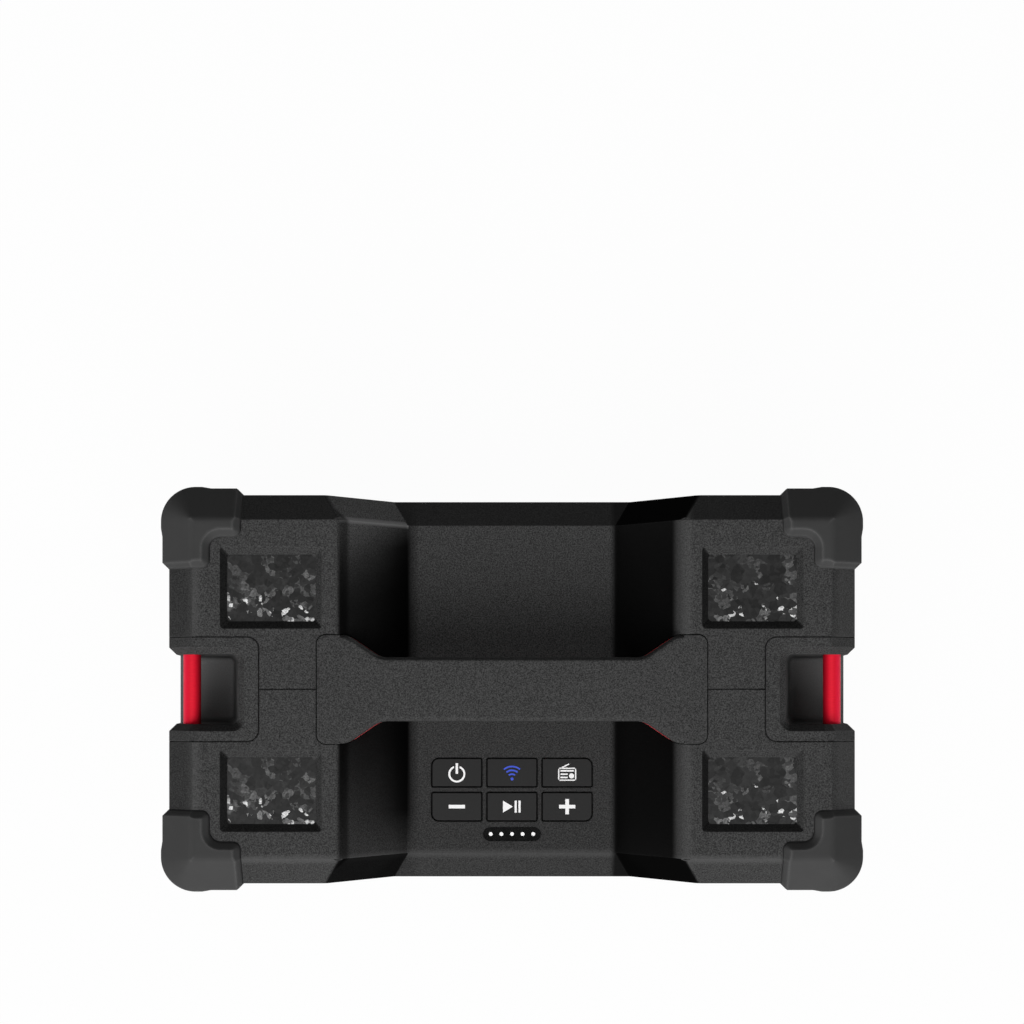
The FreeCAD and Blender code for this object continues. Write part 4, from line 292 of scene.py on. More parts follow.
def paint_edge_highlight_and_seam_shade(tree, colour, point, bent):
    """Painted highlights on the folds, and painted shade along the seams round the level faces."""
    same = add(tree, "VectorMath", {0: bent, 1: point.normal}, operation="DOT_PRODUCT").outputs["Value"]
    level = add(tree, "MapRange", {"Value": point.lean["Z"], "From Min": 0.98, "From Max": 0.995})
    fold = add(tree, "MapRange", {"Value": same, "From Min": 0.995, "From Max": 0.93,
                                  "To Min": 0.0, "To Max": 0.42})
    fold = add(tree, "Mix", {0: level, 2: fold, 3: 0.0})
    seam = add(tree, "MapRange", {"Value": same, "From Min": 0.9, "From Max": 0.8})
    # Painted highlight on the folds, then painted shade along the seams.
    edge_highlighted = paint_where(tree, colour, "#606060", fold)
    return paint_where(tree, edge_highlighted, "#060606", seam, level)


# %% [markdown]
# ### Painted shade and light on the slopes
#
# The slopes that face the back, the two long slopes down to the deck and the flares at their ends are
# almost black in the picture and show hardly any grain, so they are painted nearly black as painted shade.
# A flare is a face that leans two ways at once. The one at the left back is as pale as the top, and so it
# is spared.
#
# The long slope on the left gets painted light and shade that make it paler towards both its ends, and a
# painted highlight on a fold crosses it at the back. Behind the handle its painted tones run slantwise, so
# there a place along the valley is measured on a slant: half a millimetre less for each millimetre towards
# the middle.

# %% Slopes that face the back
TWO_WAYS = 0.15


def shade_the_back(tree, colour, point):
    """Painted shade, nearly black, where a slope faces the back, but not where it leans to the right as
    well.
    """
    behind = add(tree, "MapRange", {"Value": point.lean["Y"], "From Min": 0.2, "From Max": 0.5,
                                    "To Min": 0.0, "To Max": 0.65})
    spared = add(tree, "MapRange", {"Value": point.across, "From Min": TWO_WAYS, "From Max": 2 * TWO_WAYS,
                                    "To Min": 1.0, "To Max": 0.0})
    return paint_where(tree, colour, "#000000", behind, point.upward, spared)


# %% Where in the valley a point lies
BRIM = 207.8 * MM
BRIM_FADE = 1 * MM
LEFT_PART = -40 * MM
SLANT_START = 76 * MM
SLANT = -0.5


def find_in_valley(tree, point):
    """Below the brim or not, in the left part or not, and how far along the valley."""
    x, y, z = (point.place[axis] for axis in "XYZ")
    below = add(tree, "MapRange", {"Value": z, "From Min": BRIM, "From Max": BRIM - BRIM_FADE})
    left = add(tree, "Math", {0: x, 1: LEFT_PART}, operation="LESS_THAN")
    inwards = add(tree, "Math", {0: x, 1: SLANT_START}, operation="ADD")
    slant = add(tree, "Math", {0: inwards, 1: SLANT, 2: y}, operation="MULTIPLY_ADD")
    back = add(tree, "Math", {0: y, 1: 0.0}, operation="GREATER_THAN")
    along = add(tree, "Mix", {0: back, 2: y, 3: slant})
    return below, left, along


# %% The long slopes and the flares
HALF_VALLEY = 100 * MM
OPEN_END = 60 * MM
PAINTED_SHADE_SLOPES = [(-0.0865, 0.0), (-0.084, 0.65), (-0.0815, 0.7), (-0.080, 0.4), (-0.067, 0.62),
               (-0.057, 0.93), (-0.052, 1.0), (-0.050, 0.6), (-0.046, 0.0), (0.049, 0.0), (0.0515, 0.95),
               (0.0775, 1.0), (0.0800, 0.0)]


def paint_shade_on_slopes(tree, colour, point, below, left, along):
    """Painted shade on the long slopes by a curve over X, less at the open ends of the left one, and on the
    flares.
    """
    dark = curve_over(tree, point.place["X"], -HALF_VALLEY, HALF_VALLEY, PAINTED_SHADE_SLOPES)
    reach = add(tree, "Math", {0: along}, operation="ABSOLUTE")
    open_end = add(tree, "MapRange", {"Value": reach, "From Min": OPEN_END, "From Max": OPEN_END + 20 * MM,
                                      "To Min": 0.0, "To Max": 0.75})
    open_end = add(tree, "Math", {0: open_end, 1: left}, operation="MULTIPLY")
    closed = add(tree, "Math", {0: 1.0, 1: open_end}, operation="SUBTRACT")
    slope = add(tree, "Math", {0: dark, 1: below}, operation="MULTIPLY")
    slope = add(tree, "Math", {0: slope, 1: closed}, operation="MULTIPLY")
    leaning = add(tree, "Math", {0: point.across}, operation="ABSOLUTE")
    flare = add(tree, "MapRange", {"Value": leaning, "From Min": TWO_WAYS, "From Max": 2 * TWO_WAYS})
    depth = add(tree, "MapRange", {"Value": left, "To Min": 1.0, "To Max": 0.92})
    flare = add(tree, "Math", {0: flare, 1: depth}, operation="MULTIPLY")
    either = add(tree, "Math", {0: slope, 1: flare}, operation="MAXIMUM")
    left_back = add(tree, "Math", {0: point.across, 1: TWO_WAYS}, operation="GREATER_THAN")
    left_back = add(tree, "Math", {0: left_back, 1: left}, operation="MULTIPLY")
    others = add(tree, "Math", {0: 1.0, 1: left_back}, operation="SUBTRACT")
    # Painted shade, nearly black, over the long slopes and the flares.
    return paint_where(tree, colour, "#0a0a0a", either, point.upward, others)


# %% The light on the left slope
LEFT_LIGHT = [(-0.080, 0.60), (-0.060, 0.68), (-0.050, 0.52), (-0.040, 0.37), (-0.030, 0.25),
              (-0.024, 0.2), (0.030, 0.19), (0.040, 0.19), (0.050, 0.31), (0.060, 0.6), (0.070, 0.85),
              (0.078, 1.0)]
LIGHT_GAIN = 2.0
LEFT_FOLD_HIGHLIGHT = [(0.0800, 0.0), (0.0812, 0.65), (0.0824, 0.65), (0.0836, 0.0)]


def light_the_left_slope(tree, colour, point, below, left, along):
    """Painted light and shade by a curve along the valley, and a painted highlight on a fold across its
    back end.
    """
    on_slope = add(tree, "MapRange", {"Value": point.lean["X"], "From Min": 0.4, "From Max": 0.6})
    inner = add(tree, "Math", {0: point.place["X"], 1: -HALF_VALLEY}, operation="GREATER_THAN")
    for share in (below, left, point.upward, inner):
        on_slope = add(tree, "Math", {0: on_slope, 1: share}, operation="MULTIPLY")
    # Painted light and shade: the colour is scaled by a curve along the valley.
    light = curve_over(tree, along, -HALF_VALLEY, HALF_VALLEY, LEFT_LIGHT)
    light = add(tree, "Math", {0: light, 1: LIGHT_GAIN}, operation="MULTIPLY")
    gain = add(tree, "Mix", {0: on_slope, 2: 1.0, 3: light})
    lit = add(tree, "VectorMath", {0: colour, "Scale": gain}, operation="SCALE")
    fold = curve_over(tree, point.place["Y"], -HALF_VALLEY, HALF_VALLEY, LEFT_FOLD_HIGHLIGHT)
    return paint_where(tree, lit, "#8c8c8c", fold, on_slope)


def shade_the_valley(tree, colour, point):
    """The painted shade on the slopes, and then the painted light on the left one."""
    found = find_in_valley(tree, point)
    colour = paint_shade_on_slopes(tree, colour, point, *found)
    return light_the_left_slope(tree, colour, point, *found)


# %% [markdown]
# ### Rubbed bands, shaded corners and pale notches
#
# The outer folds, the right brim and the front fold of the deck get painted highlights in bands. The deck
# in front of the handle, the left walls of the four windows and the chamfer at the left end get a little
# painted shade. The floors of the two notches, which belong to the panels of the anchors, get painted
# light.

# %% Painted highlight bands
HALF_WIDTH = 170 * MM
FRONT_FOLD = (-94 * MM, -70 * MM)
PAINTED_HIGHLIGHT_ENDS = [(-0.157, 0.0), (-0.154, 0.3), (-0.152, 0.3), (-0.149, 0.0), (0.0765, 0.0), (0.079, 0.25),
               (0.085, 0.25), (0.0875, 0.0), (0.155, 0.0), (0.158, 0.18)]
PAINTED_HIGHLIGHT_FRONT = [(-0.0845, 0.0), (-0.0825, 0.5), (-0.081, 0.5), (-0.079, 0.0)]


def paint_highlight_bands(tree, colour, point):
    """Painted highlights in bands by one curve over X and one over Y."""
    ends = curve_over(tree, point.place["X"], -HALF_WIDTH, HALF_WIDTH, PAINTED_HIGHLIGHT_ENDS)
    front = curve_over(tree, point.place["Y"], *FRONT_FOLD, PAINTED_HIGHLIGHT_FRONT)
    either = add(tree, "Math", {0: ends, 1: front}, operation="MAXIMUM")
    return paint_where(tree, colour, "#565656", either)


# %% Shaded deck, window walls and left chamfer
DECK_LEVEL = 156 * MM
WINDOW_LEVEL = 200 * MM
END_CHAMFER = 150 * MM


def shade_the_corners(tree, colour, point):
    """Painted shade on the deck in front of the handle, the left walls of the windows, and the chamfer at
    the left end.
    """
    x, y, z = (point.place[axis] for axis in "XYZ")
    deck = add(tree, "MapRange", {"Value": z, "From Min": DECK_LEVEL, "From Max": DECK_LEVEL + 10 * MM,
                                  "To Min": 1.0, "To Max": 0.0})
    front = add(tree, "MapRange", {"Value": y, "From Min": 10 * MM, "From Max": -25 * MM,
                                   "To Min": 0.0, "To Max": 0.25})
    colour = paint_where(tree, colour, "#000000", deck, front, point.upward)
    inside = add(tree, "MapRange", {"Value": x, "From Min": END_CHAMFER, "From Max": END_CHAMFER - 4 * MM})
    high = add(tree, "MapRange", {"Value": z, "From Min": WINDOW_LEVEL, "From Max": WINDOW_LEVEL + 3 * MM})
    wall = add(tree, "MapRange", {"Value": point.lean["X"], "From Min": 0.3, "From Max": 0.6,
                                  "To Min": 0.0, "To Max": 0.65})
    colour = paint_where(tree, colour, "#000000", inside, high, wall)
    end = add(tree, "MapRange", {"Value": x, "From Min": -END_CHAMFER, "From Max": -END_CHAMFER - 5 * MM,
                                 "To Min": 0.0, "To Max": 0.2})
    chamfer = add(tree, "MapRange", {"Value": point.lean["X"], "From Min": -0.3, "From Max": -0.6})
    return paint_where(tree, colour, "#000000", end, chamfer, point.upward)


# %% Painted light on the floors of the notches
NOTCH_FLOOR = 143.5 * MM


def paint_light_on_notch_floors(tree, colour, point):
    """Painted light, paler towards the floor of a notch, the lowest level that shows of an anchor's panel.
    """
    z = point.place["Z"]
    low = add(tree, "MapRange", {"Value": z, "From Min": NOTCH_FLOOR, "From Max": NOTCH_FLOOR + 8.5 * MM,
                                 "To Min": 0.55, "To Max": 0.0})
    return paint_where(tree, colour, "#8a8a8a", low)


# %% [markdown]
# ### The finished plastics
#
# Every piece takes the grain, the painted highlights and shade at its edges and the painted shade on its
# backs. The shells add the painted highlight bands, the painted light and shade of the valley and the
# painted shade in the corners, and the other pieces only the painted light on the notch floors. The flares
# stand so steep that even a little gloss would mirror the white floor, so they get the shells' finish
# without any. Gloss stays a plain number on the shader.

# %% Housing plastic
def spark_eroded(name, gloss, steps):
    """The grained plastic, with the steps that belong to its pieces."""
    material, tree, spot = start(name)
    point = read_point(tree, spot)
    grain = add(tree, "TexNoise", {"Vector": spot, "Scale": 1 / GRAIN, "Detail": 2.0, "Roughness": 0.6})
    peaks = add(tree, "MapRange", {"Value": grain, "From Min": 0.3, "From Max": 0.7})
    bent = add(tree, "Bevel", {"Radius": EDGE}, samples=4)
    colour = grain_tones(tree, spot, peaks)
    colour = paint_edge_highlight_and_seam_shade(tree, colour, point, bent)
    colour = shade_the_back(tree, colour, point)
    for step in steps:
        colour = step(tree, colour, point)
    dull = add(tree, "MapRange", {"Value": grain, "To Min": 0.5, "To Max": 0.72})
    bumps = add(tree, "Bump", {"Height": peaks, "Strength": 0.3, "Distance": 0.12 * MM, "Normal": bent})
    close(tree, colour, dull, bumps, IOR=1.46, Specular_IOR_Level=gloss)
    return material


SHELL_STEPS = (paint_highlight_bands, shade_the_valley, shade_the_corners)
shell_plastic = spark_eroded("abs_moulded_spark_eroded", 0.05, SHELL_STEPS)
flare_plastic = spark_eroded("abs_moulded_spark_eroded_matt", 0.0, SHELL_STEPS)
plain_plastic = spark_eroded("abs_moulded_spark_eroded_plain", 0.05, (paint_light_on_notch_floors,))
print("grain", GRAIN / MM, "mm, nodes in the shells' finish:", len(shell_plastic.node_tree.nodes))

# %% [markdown]
# ## Corner guards: matt rubber
#
# The guards are moulded in soft black rubber (TPE). Rubber has no gloss and no grain to speak of: an even
# dark grey with wide, faint smudges where it was held, and painted highlights along its folds. The slopes
# that face the left or the front get painted light, and those that face the back get painted shade and go
# darker.

# %% Guard rubber
SMUDGE = 14 * MM
PORE = 1.1 * MM
GUARD_EDGE = 2.2 * MM

rubber, tree, spot = start("tpe_moulded_matt")
smudge = add(tree, "TexNoise", {"Vector": spot, "Scale": 1 / SMUDGE, "Detail": 4.0, "Roughness": 0.55})
pores = add(tree, "TexNoise", {"Vector": spot, "Scale": 1 / PORE, "Detail": 1.0})
normal = add(tree, "NewGeometry").outputs["Normal"]
lean = add(tree, "SeparateXYZ", {0: normal}).outputs
bent = add(tree, "Bevel", {"Radius": GUARD_EDGE}, samples=4)
same = add(tree, "VectorMath", {0: bent, 1: normal}, operation="DOT_PRODUCT").outputs["Value"]
fold = add(tree, "MapRange", {"Value": same, "From Min": 0.995, "From Max": 0.9,
                              "To Min": 0.0, "To Max": 0.42})
tone = paint_where(tree, linear("#393939"), "#404040", smudge)
# Painted highlight along the folds.
tone = paint_where(tree, tone, "#6a6a6a", fold)
# Painted light on the slopes that face the left or the front.
left = add(tree, "MapRange", {"Value": lean["X"], "From Min": -0.2, "From Max": -0.6,
                              "To Min": 1.0, "To Max": 1.2})
front = add(tree, "MapRange", {"Value": lean["Y"], "From Min": -0.2, "From Max": -0.6,
                               "To Min": 1.0, "To Max": 1.25})
gain = add(tree, "Math", {0: left, 1: front}, operation="MAXIMUM")
lit = add(tree, "VectorMath", {0: tone, "Scale": gain}, operation="SCALE")
# Painted shade on the slopes that face the back.
behind = add(tree, "MapRange", {"Value": lean["Y"], "From Min": 0.2, "From Max": 0.6,
                                "To Min": 0.0, "To Max": 0.4})
upward = add(tree, "MapRange", {"Value": lean["Z"], "From Min": 0.2, "From Max": 0.4})
tone = paint_where(tree, lit, "#000000", behind, upward)
dull = add(tree, "MapRange", {"Value": smudge, "To Min": 0.62, "To Max": 0.8})
bumps = add(tree, "Bump", {"Height": pores, "Strength": 0.08, "Distance": 0.1 * MM, "Normal": bent})
close(tree, tone, dull, bumps, IOR=1.5, Specular_IOR_Level=0.05)
print("rubber with smudges of", SMUDGE / MM, "mm")

# %% [markdown]
# ## Window inlays: forged flake
#
# Chips of carbon fibre are pressed in dark resin. Cells of 4.2, 1.9 and 0.7 mm stand for the chips, their
# parts and their torn edges, and a fine noise for the fibres. The ground is built of all of them: each chip
# and each of its parts adds its own dark grey. Over it lie the paler parts of some chips, and a painted
# glint on some parts, as if they faced the lamp. Both grow weaker towards the back of a plate.
#
# The front and the rear plate of one side are cut from one pattern, as in the picture, so the pattern
# starts again at each plate's middle.

# %% Forged flake
PLATE_MIDDLE = 48.8 * MM
PLATE_REACH = 16 * MM
STIR = 3 * MM
CHIP = 4.2 * MM
BIT = 1.9 * MM
CRUMB = 0.7 * MM
FIBRE = 0.5 * MM


def cells(tree, vector, size):
    """The random colour of each cell of one size."""
    node = add(tree, "TexVoronoi", {"Vector": vector, "Scale": 1 / size, "Randomness": 1.0})
    return add(tree, "SeparateColor", {0: node.outputs["Color"]}).outputs


flake, tree, spot = start("carbon_chips_pressed_in_resin")
place = add(tree, "SeparateXYZ", {0: spot}).outputs
end = add(tree, "Math", {0: place["Y"]}, operation="SIGN")
along = add(tree, "Math", {0: end, 1: -PLATE_MIDDLE, 2: place["Y"]}, operation="MULTIPLY_ADD")
local = add(tree, "CombineXYZ", {"X": place["X"], "Y": along})
stir = add(tree, "TexNoise", {"Vector": local, "Scale": 1 / STIR, "Detail": 3.0})
wander = add(tree, "VectorMath", {0: stir.outputs["Color"], "Scale": STIR}, operation="SCALE")
stirred = add(tree, "VectorMath", {0: local, 1: wander}, operation="ADD")
chip = cells(tree, stirred, CHIP)
bit = cells(tree, stirred, BIT)
crumb = cells(tree, stirred, CRUMB)
fibres = add(tree, "TexNoise", {"Vector": local, "Scale": 1 / FIBRE, "Detail": 2.0, "Distortion": 2.0})

# %% Tones of the flake
layer = add(tree, "Math", {0: chip[2], 1: 0.5}, operation="MULTIPLY")
layer = add(tree, "Math", {0: bit[0], 1: 0.35, 2: layer}, operation="MULTIPLY_ADD")
layer = add(tree, "Math", {0: fibres, 1: 0.2, 2: layer}, operation="MULTIPLY_ADD")
ground = paint_where(tree, linear("#060606"), "#303030", layer)
patch = add(tree, "MapRange", {"Value": chip[0], "From Min": 0.55, "From Max": 1.0, "To Max": 0.9})
small = add(tree, "MapRange", {"Value": bit[1], "From Min": 0.2, "From Max": 0.6})
torn = add(tree, "MapRange", {"Value": crumb[0], "To Min": 0.4, "To Max": 1.15})
near = add(tree, "MapRange", {"Value": along, "From Min": PLATE_REACH, "From Max": -PLATE_REACH,
                              "To Min": 0.55, "To Max": 1.0})
grey = paint_where(tree, ground, "#7c7c7c", patch, small, torn, near)
# Painted glint: a few parts are painted near white.
flash = add(tree, "Math", {0: bit[2], 1: chip[1]}, operation="MULTIPLY")
flash = add(tree, "Math", {0: flash, 1: near}, operation="MULTIPLY")
flash = add(tree, "MapRange", {"Value": flash, "From Min": 0.62, "From Max": 0.68})
bright = paint_where(tree, grey, "#e0e0e0", flash, torn)
dull = add(tree, "MapRange", {"Value": fibres, "To Min": 0.35, "To Max": 0.55})
bumps = add(tree, "Bump", {"Height": crumb[1], "Strength": 0.15, "Distance": 0.1 * MM})
close(tree, bright, dull, bumps, IOR=1.5, Specular_IOR_Level=0.25)
print("chips of", CHIP / MM, "mm, nodes:", len(tree.nodes))

# %% [markdown]
# ## Strap bars: red anodised aluminium
#
# A turned aluminium rod is blasted and dyed red while it is anodised. The thick dye scatters much of the
# light, and the metal under it reflects the rest in red, so it is drawn as one part metal to four parts
# dye. Fine lines of the turning run round it, 0.15 mm apart, drawn at 0.4 mm. The side away from the
# speaker gets a painted highlight, and the side towards the notch lies in shade and is drawn much darker as
# painted shade.

# %% Red anodised aluminium
TURNING = 0.4 * MM

anodised, tree, spot = start("aluminium_turned_red_anodised")
turning = add(tree, "Mapping", {"Vector": spot, "Scale": (0.15, 1.0, 0.15)})
lines = add(tree, "TexNoise", {"Vector": turning, "Scale": 1 / TURNING, "Detail": 2.0})
lean = add(tree, "SeparateXYZ", {0: add(tree, "NewGeometry").outputs["Normal"]}).outputs
side = add(tree, "Math", {0: add(tree, "SeparateXYZ", {0: spot}).outputs["X"]}, operation="SIGN")
outward = add(tree, "Math", {0: lean["X"], 1: side}, operation="MULTIPLY")
# Painted highlight on the outer side, and painted shade on the side towards the notch.
painted_highlight = add(tree, "MapRange", {"Value": outward, "From Min": 0.2, "From Max": 0.7, "To Max": 0.8})
shaded = add(tree, "MapRange", {"Value": outward, "From Min": -0.4, "From Max": -0.9, "To Max": 0.5})
dye = paint_where(tree, linear("#d00c26"), "#e81230", lines)
dye = paint_where(tree, dye, "#ff2248", painted_highlight)
dye = paint_where(tree, dye, "#300408", shaded)
dull = add(tree, "MapRange", {"Value": lines, "To Min": 0.45, "To Max": 0.58})
bumps = add(tree, "Bump", {"Height": lines, "Strength": 0.08, "Distance": 0.05 * MM})
close(tree, dye, dull, bumps, Metallic=0.2, Specular_IOR_Level=0.25)
print("lines drawn at", TURNING / MM, "mm")

# %% [markdown]
# ## Buttons: satin silicone
#
# The six buttons are moulded in silicone rubber with a smooth satin top. Their rounded edges get painted
# shade of the gap, so they go black away from the flat top.

# %% Button silicone
KEY_DUST = 1.2 * MM

keys, tree, spot = start("silicone_moulded_satin")
dust = add(tree, "TexNoise", {"Vector": spot, "Scale": 1 / KEY_DUST, "Detail": 3.0})
lean = add(tree, "SeparateXYZ", {0: add(tree, "NewGeometry").outputs["Normal"]}).outputs
# Painted shade of the gap on the rounded edges.
gap_shade = add(tree, "MapRange", {"Value": lean["Z"], "From Min": 0.995, "From Max": 0.9})
tone = paint_where(tree, linear("#212121"), "#262626", dust)
tone = paint_where(tree, tone, "#060606", gap_shade)
dull = add(tree, "MapRange", {"Value": dust, "To Min": 0.45, "To Max": 0.6})
bumps = add(tree, "Bump", {"Height": dust, "Strength": 0.05, "Distance": 0.1 * MM})
close(tree, tone, dull, bumps, IOR=1.45, Specular_IOR_Level=0.2)
print("nodes:", len(tree.nodes))

# %% [markdown]
# ## The other finishes
#
# Most of the other pieces are a plain material with a fine grain of its own: moulded plastics,
# powder-coated or plated steel, paper, cloth and rubber. They differ in two tones, in the size of the
# grain, in roughness, and in how much of the grain can be felt, so one short function makes them from
# those numbers. The red core of the handle is also shaded: its faces towards the back are nearly
# black, since the picture shows red only at its front.

# %% A function for grained finishes
def grained(name, dark, pale, size, rough, relief=0.1, shaded=0.0, **constants):
    """Two tones mixed by a noise with grains of one size, and shaded on the faces towards the back."""
    material, tree, spot = start(name)
    noise = add(tree, "TexNoise", {"Vector": spot, "Scale": 1 / size, "Detail": 3.0})
    colour = paint_where(tree, linear(dark), pale, noise)
    if shaded:
        lean = add(tree, "SeparateXYZ", {0: add(tree, "NewGeometry").outputs["Normal"]}).outputs
        behind = add(tree, "MapRange", {"Value": lean["Y"], "From Min": 0.1, "From Max": 0.3,
                                        "To Max": shaded})
        colour = paint_where(tree, colour, "#000000", behind)
    dull = add(tree, "MapRange", {"Value": noise, "To Min": rough[0], "To Max": rough[1]})
    bumps = add(tree, "Bump", {"Height": noise, "Strength": relief, "Distance": 0.1 * MM})
    close(tree, colour, dull, bumps, **constants)
    return material


# %% Finishes for all the pieces
finishes = {
    "housing_plastic": plain_plastic,
    "guard_rubber": rubber,
    "flake_inlay": flake,
    "red_anodised_aluminium": anodised,
    "red_plastic": grained("abs_moulded_red", "#8e1018", "#b01822", 0.9 * MM, (0.4, 0.55), shaded=0.95,
                           IOR=1.5),
    "key_rubber": keys,
    "smoked_lens": grained("polycarbonate_smoked_polished", "#0a0a0a", "#101010", 4 * MM, (0.12, 0.2), 0.02,
                           IOR=1.58, Specular_IOR_Level=0.25),
    "light_resin": grained("resin_cast_clear_white", "#e8e8e0", "#f8f8f4", 1 * MM, (0.2, 0.3), 0.02,
                           IOR=1.5),
    "circuit_board": grained("glass_epoxy_green_solder_mask", "#0d3a20", "#15522e", 3 * MM, (0.3, 0.45),
                             IOR=1.5),
    "switch_plastic": grained("nylon_moulded_black", "#181818", "#222222", 0.8 * MM, (0.5, 0.6), IOR=1.5),
    "grille_steel": grained("steel_punched_powder_coated", "#1b1b1b", "#292929", 0.6 * MM, (0.5, 0.65), 0.3,
                            IOR=1.5),
    "screw_steel": grained("steel_rolled_zinc_plated", "#8f9194", "#b0b2b5", 0.5 * MM, (0.25, 0.4),
                           Metallic=1.0),
    "basket_steel": grained("steel_pressed_black_painted", "#1d1d1e", "#29292a", 2 * MM, (0.35, 0.5),
                            IOR=1.5),
    "ferrite": grained("ferrite_sintered", "#2a2a2c", "#3a3a3d", 0.7 * MM, (0.55, 0.7), 0.3, IOR=1.8),
    "yoke_steel": grained("steel_turned_zinc_plated", "#9a9a96", "#b8b8b4", 1 * MM, (0.25, 0.4),
                          Metallic=1.0),
    "cone_paper": grained("paper_pulp_pressed_black", "#161616", "#262626", 1.6 * MM, (0.75, 0.9), 0.5,
                          IOR=1.4),
    "coil_copper": grained("copper_wire_enamelled", "#a85a34", "#c87848", 0.3 * MM, (0.2, 0.35),
                           Metallic=1.0),
    "surround_rubber": grained("butyl_rubber_moulded", "#181818", "#202020", 2 * MM, (0.5, 0.65), IOR=1.5),
    "spider_cloth": grained("cotton_woven_resin_dipped", "#a87838", "#c89850", 0.6 * MM, (0.8, 0.95), 0.5,
                            IOR=1.5),
    "frame_plastic": grained("abs_moulded_plain_black", "#1c1c1c", "#262626", 1 * MM, (0.5, 0.6), IOR=1.5),
    "radiator_metal": grained("aluminium_pressed_black", "#202022", "#2e2e30", 1 * MM, (0.35, 0.5),
                              Metallic=1.0),
    "cover_plastic": grained("tpu_moulded_soft", "#262626", "#303030", 0.8 * MM, (0.55, 0.7), 0.2, IOR=1.5),
    "socket_steel": grained("steel_drawn_nickel_plated", "#a8a49c", "#c8c4bc", 0.5 * MM, (0.2, 0.3),
                            Metallic=1.0),
    "battery_wrap": grained("pvc_shrunk_blue", "#14305c", "#1c4078", 6 * MM, (0.3, 0.4), IOR=1.54),
    "copper_foil": grained("copper_rolled_foil", "#b06a40", "#cc8456", 1 * MM, (0.25, 0.4), Metallic=1.0),
}
print("finishes:", len(finishes))

# %% [markdown]
# Each piece gets the finish of its slot. The shells get two, and a face of theirs that looks up and
# leans two ways at once is a flare.

# %% Give each piece its finish
UPWARD = 0.2

for part in frame["record"]["subparts"]:
    mesh = frame["nodes"][part["node"]].data
    mesh.materials.clear()
    is_shell = part["node"] in ("front_shell", "rear_shell")
    mesh.materials.append(shell_plastic if is_shell else finishes[part["material_slot"]])
    if is_shell:
        mesh.materials.append(flare_plastic)
        for face in mesh.polygons:
            leaning = abs(face.normal.x * face.normal.y) > TWO_WAYS
            face.material_index = 1 if leaning and face.normal.z > UPWARD else 0
        print(part["node"], "flare faces:", sum(face.material_index for face in mesh.polygons))

# %% [markdown]
# ## Marks on the buttons
#
# Each button carries a mark printed in ink, a few hundredths of a millimetre thick. A mark is made of
# simple flat plates: bars, rings, arcs, discs and a triangle. Each plate starts from one bmesh
# operator on the ground plane, and the whole mark is then moved on top of its button, with which it
# rides.

# %% Ink
white_ink = grained("ink_pad_printed_white", "#ededed", "#f8f8f8", 0.4 * MM, (0.5, 0.6), 0.1, IOR=1.5)
blue_ink = grained("ink_pad_printed_blue", "#2c48c0", "#3854d4", 0.4 * MM, (0.5, 0.6), 0.1, IOR=1.5)
INK = 0.06 * MM
SUNK = 0.01 * MM
print("ink", INK / MM, "mm thick")

# %% Plates for the marks
def bar(mark, x, y, width, height, turn=0.0):
    """A flat bar, centred at x, y in millimetres and turned in degrees."""
    grow = Matrix.Diagonal((width * MM, height * MM, INK, 1.0))
    spin = Matrix.Rotation(math.radians(turn), 4, "Z")
    place = Matrix.Translation((x * MM, y * MM, 0.0))
    bmesh.ops.create_cube(mark, size=1.0, matrix=place @ spin @ grow)


def disc(mark, x, y, radius, segments=40, turn=0.0, stretch=1.0):
    """A flat disc, or with three segments a triangle, longer or shorter across."""
    spin = Matrix.Rotation(math.radians(turn), 4, "Z")
    grow = Matrix.Diagonal((stretch, 1.0, 1.0, 1.0))
    place = Matrix.Translation((x * MM, y * MM, 0.0))
    bmesh.ops.create_cone(mark, cap_ends=True, segments=segments, radius1=radius * MM, radius2=radius * MM,
                          depth=INK, matrix=place @ grow @ spin)


def arc(mark, x, y, radius, stroke, first, last):
    """A flat ring or a part of one, swept from a small upright face, angles in degrees from the right."""
    swept = bmesh.new()
    upright = Matrix.Rotation(math.radians(90), 4, "X")
    grow = Matrix.Diagonal((stroke * MM, INK, 1.0, 1.0))
    outwards = Matrix.Translation((radius * MM, 0.0, 0.0))
    bmesh.ops.create_grid(swept, x_segments=1, y_segments=1, size=0.5, matrix=outwards @ upright @ grow)
    begin = Matrix.Rotation(math.radians(first), 3, "Z")
    bmesh.ops.rotate(swept, verts=swept.verts, cent=(0, 0, 0), matrix=begin)
    sweep = last - first
    bmesh.ops.spin(swept, geom=swept.verts[:] + swept.edges[:] + swept.faces[:], cent=(0, 0, 0),
                   axis=(0, 0, 1), angle=math.radians(sweep), steps=max(8, round(sweep / 6)),
                   use_merge=sweep >= 360)
    bmesh.ops.translate(swept, verts=swept.verts, vec=(x * MM, y * MM, 0.0))
    bmesh.ops.recalc_face_normals(swept, faces=swept.faces)
    piece = bpy.data.meshes.new("arc")
    swept.to_mesh(piece)
    swept.free()
    mark.from_mesh(piece)
    bpy.data.meshes.remove(piece)


def finish_mark(mark, name, node, body, ink):
    """Put a mark on top of the middle of its button and let it ride there."""
    low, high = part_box(node)
    top = ((low.x + high.x) / 2, (low.y + high.y) / 2, high.z + INK / 2 - SUNK)
    bmesh.ops.translate(mark, verts=mark.verts, vec=top)
    piece = as_object(mark, name, ink)
    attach(piece, body)


# %% Marks
power = bmesh.new()
arc(power, 0, -0.75, 3.75, 0.95, 112, 428)
bar(power, 0, 2.0, 1.2, 5.3)
finish_mark(power, "mark_power", "power_button", "power_button", white_ink)

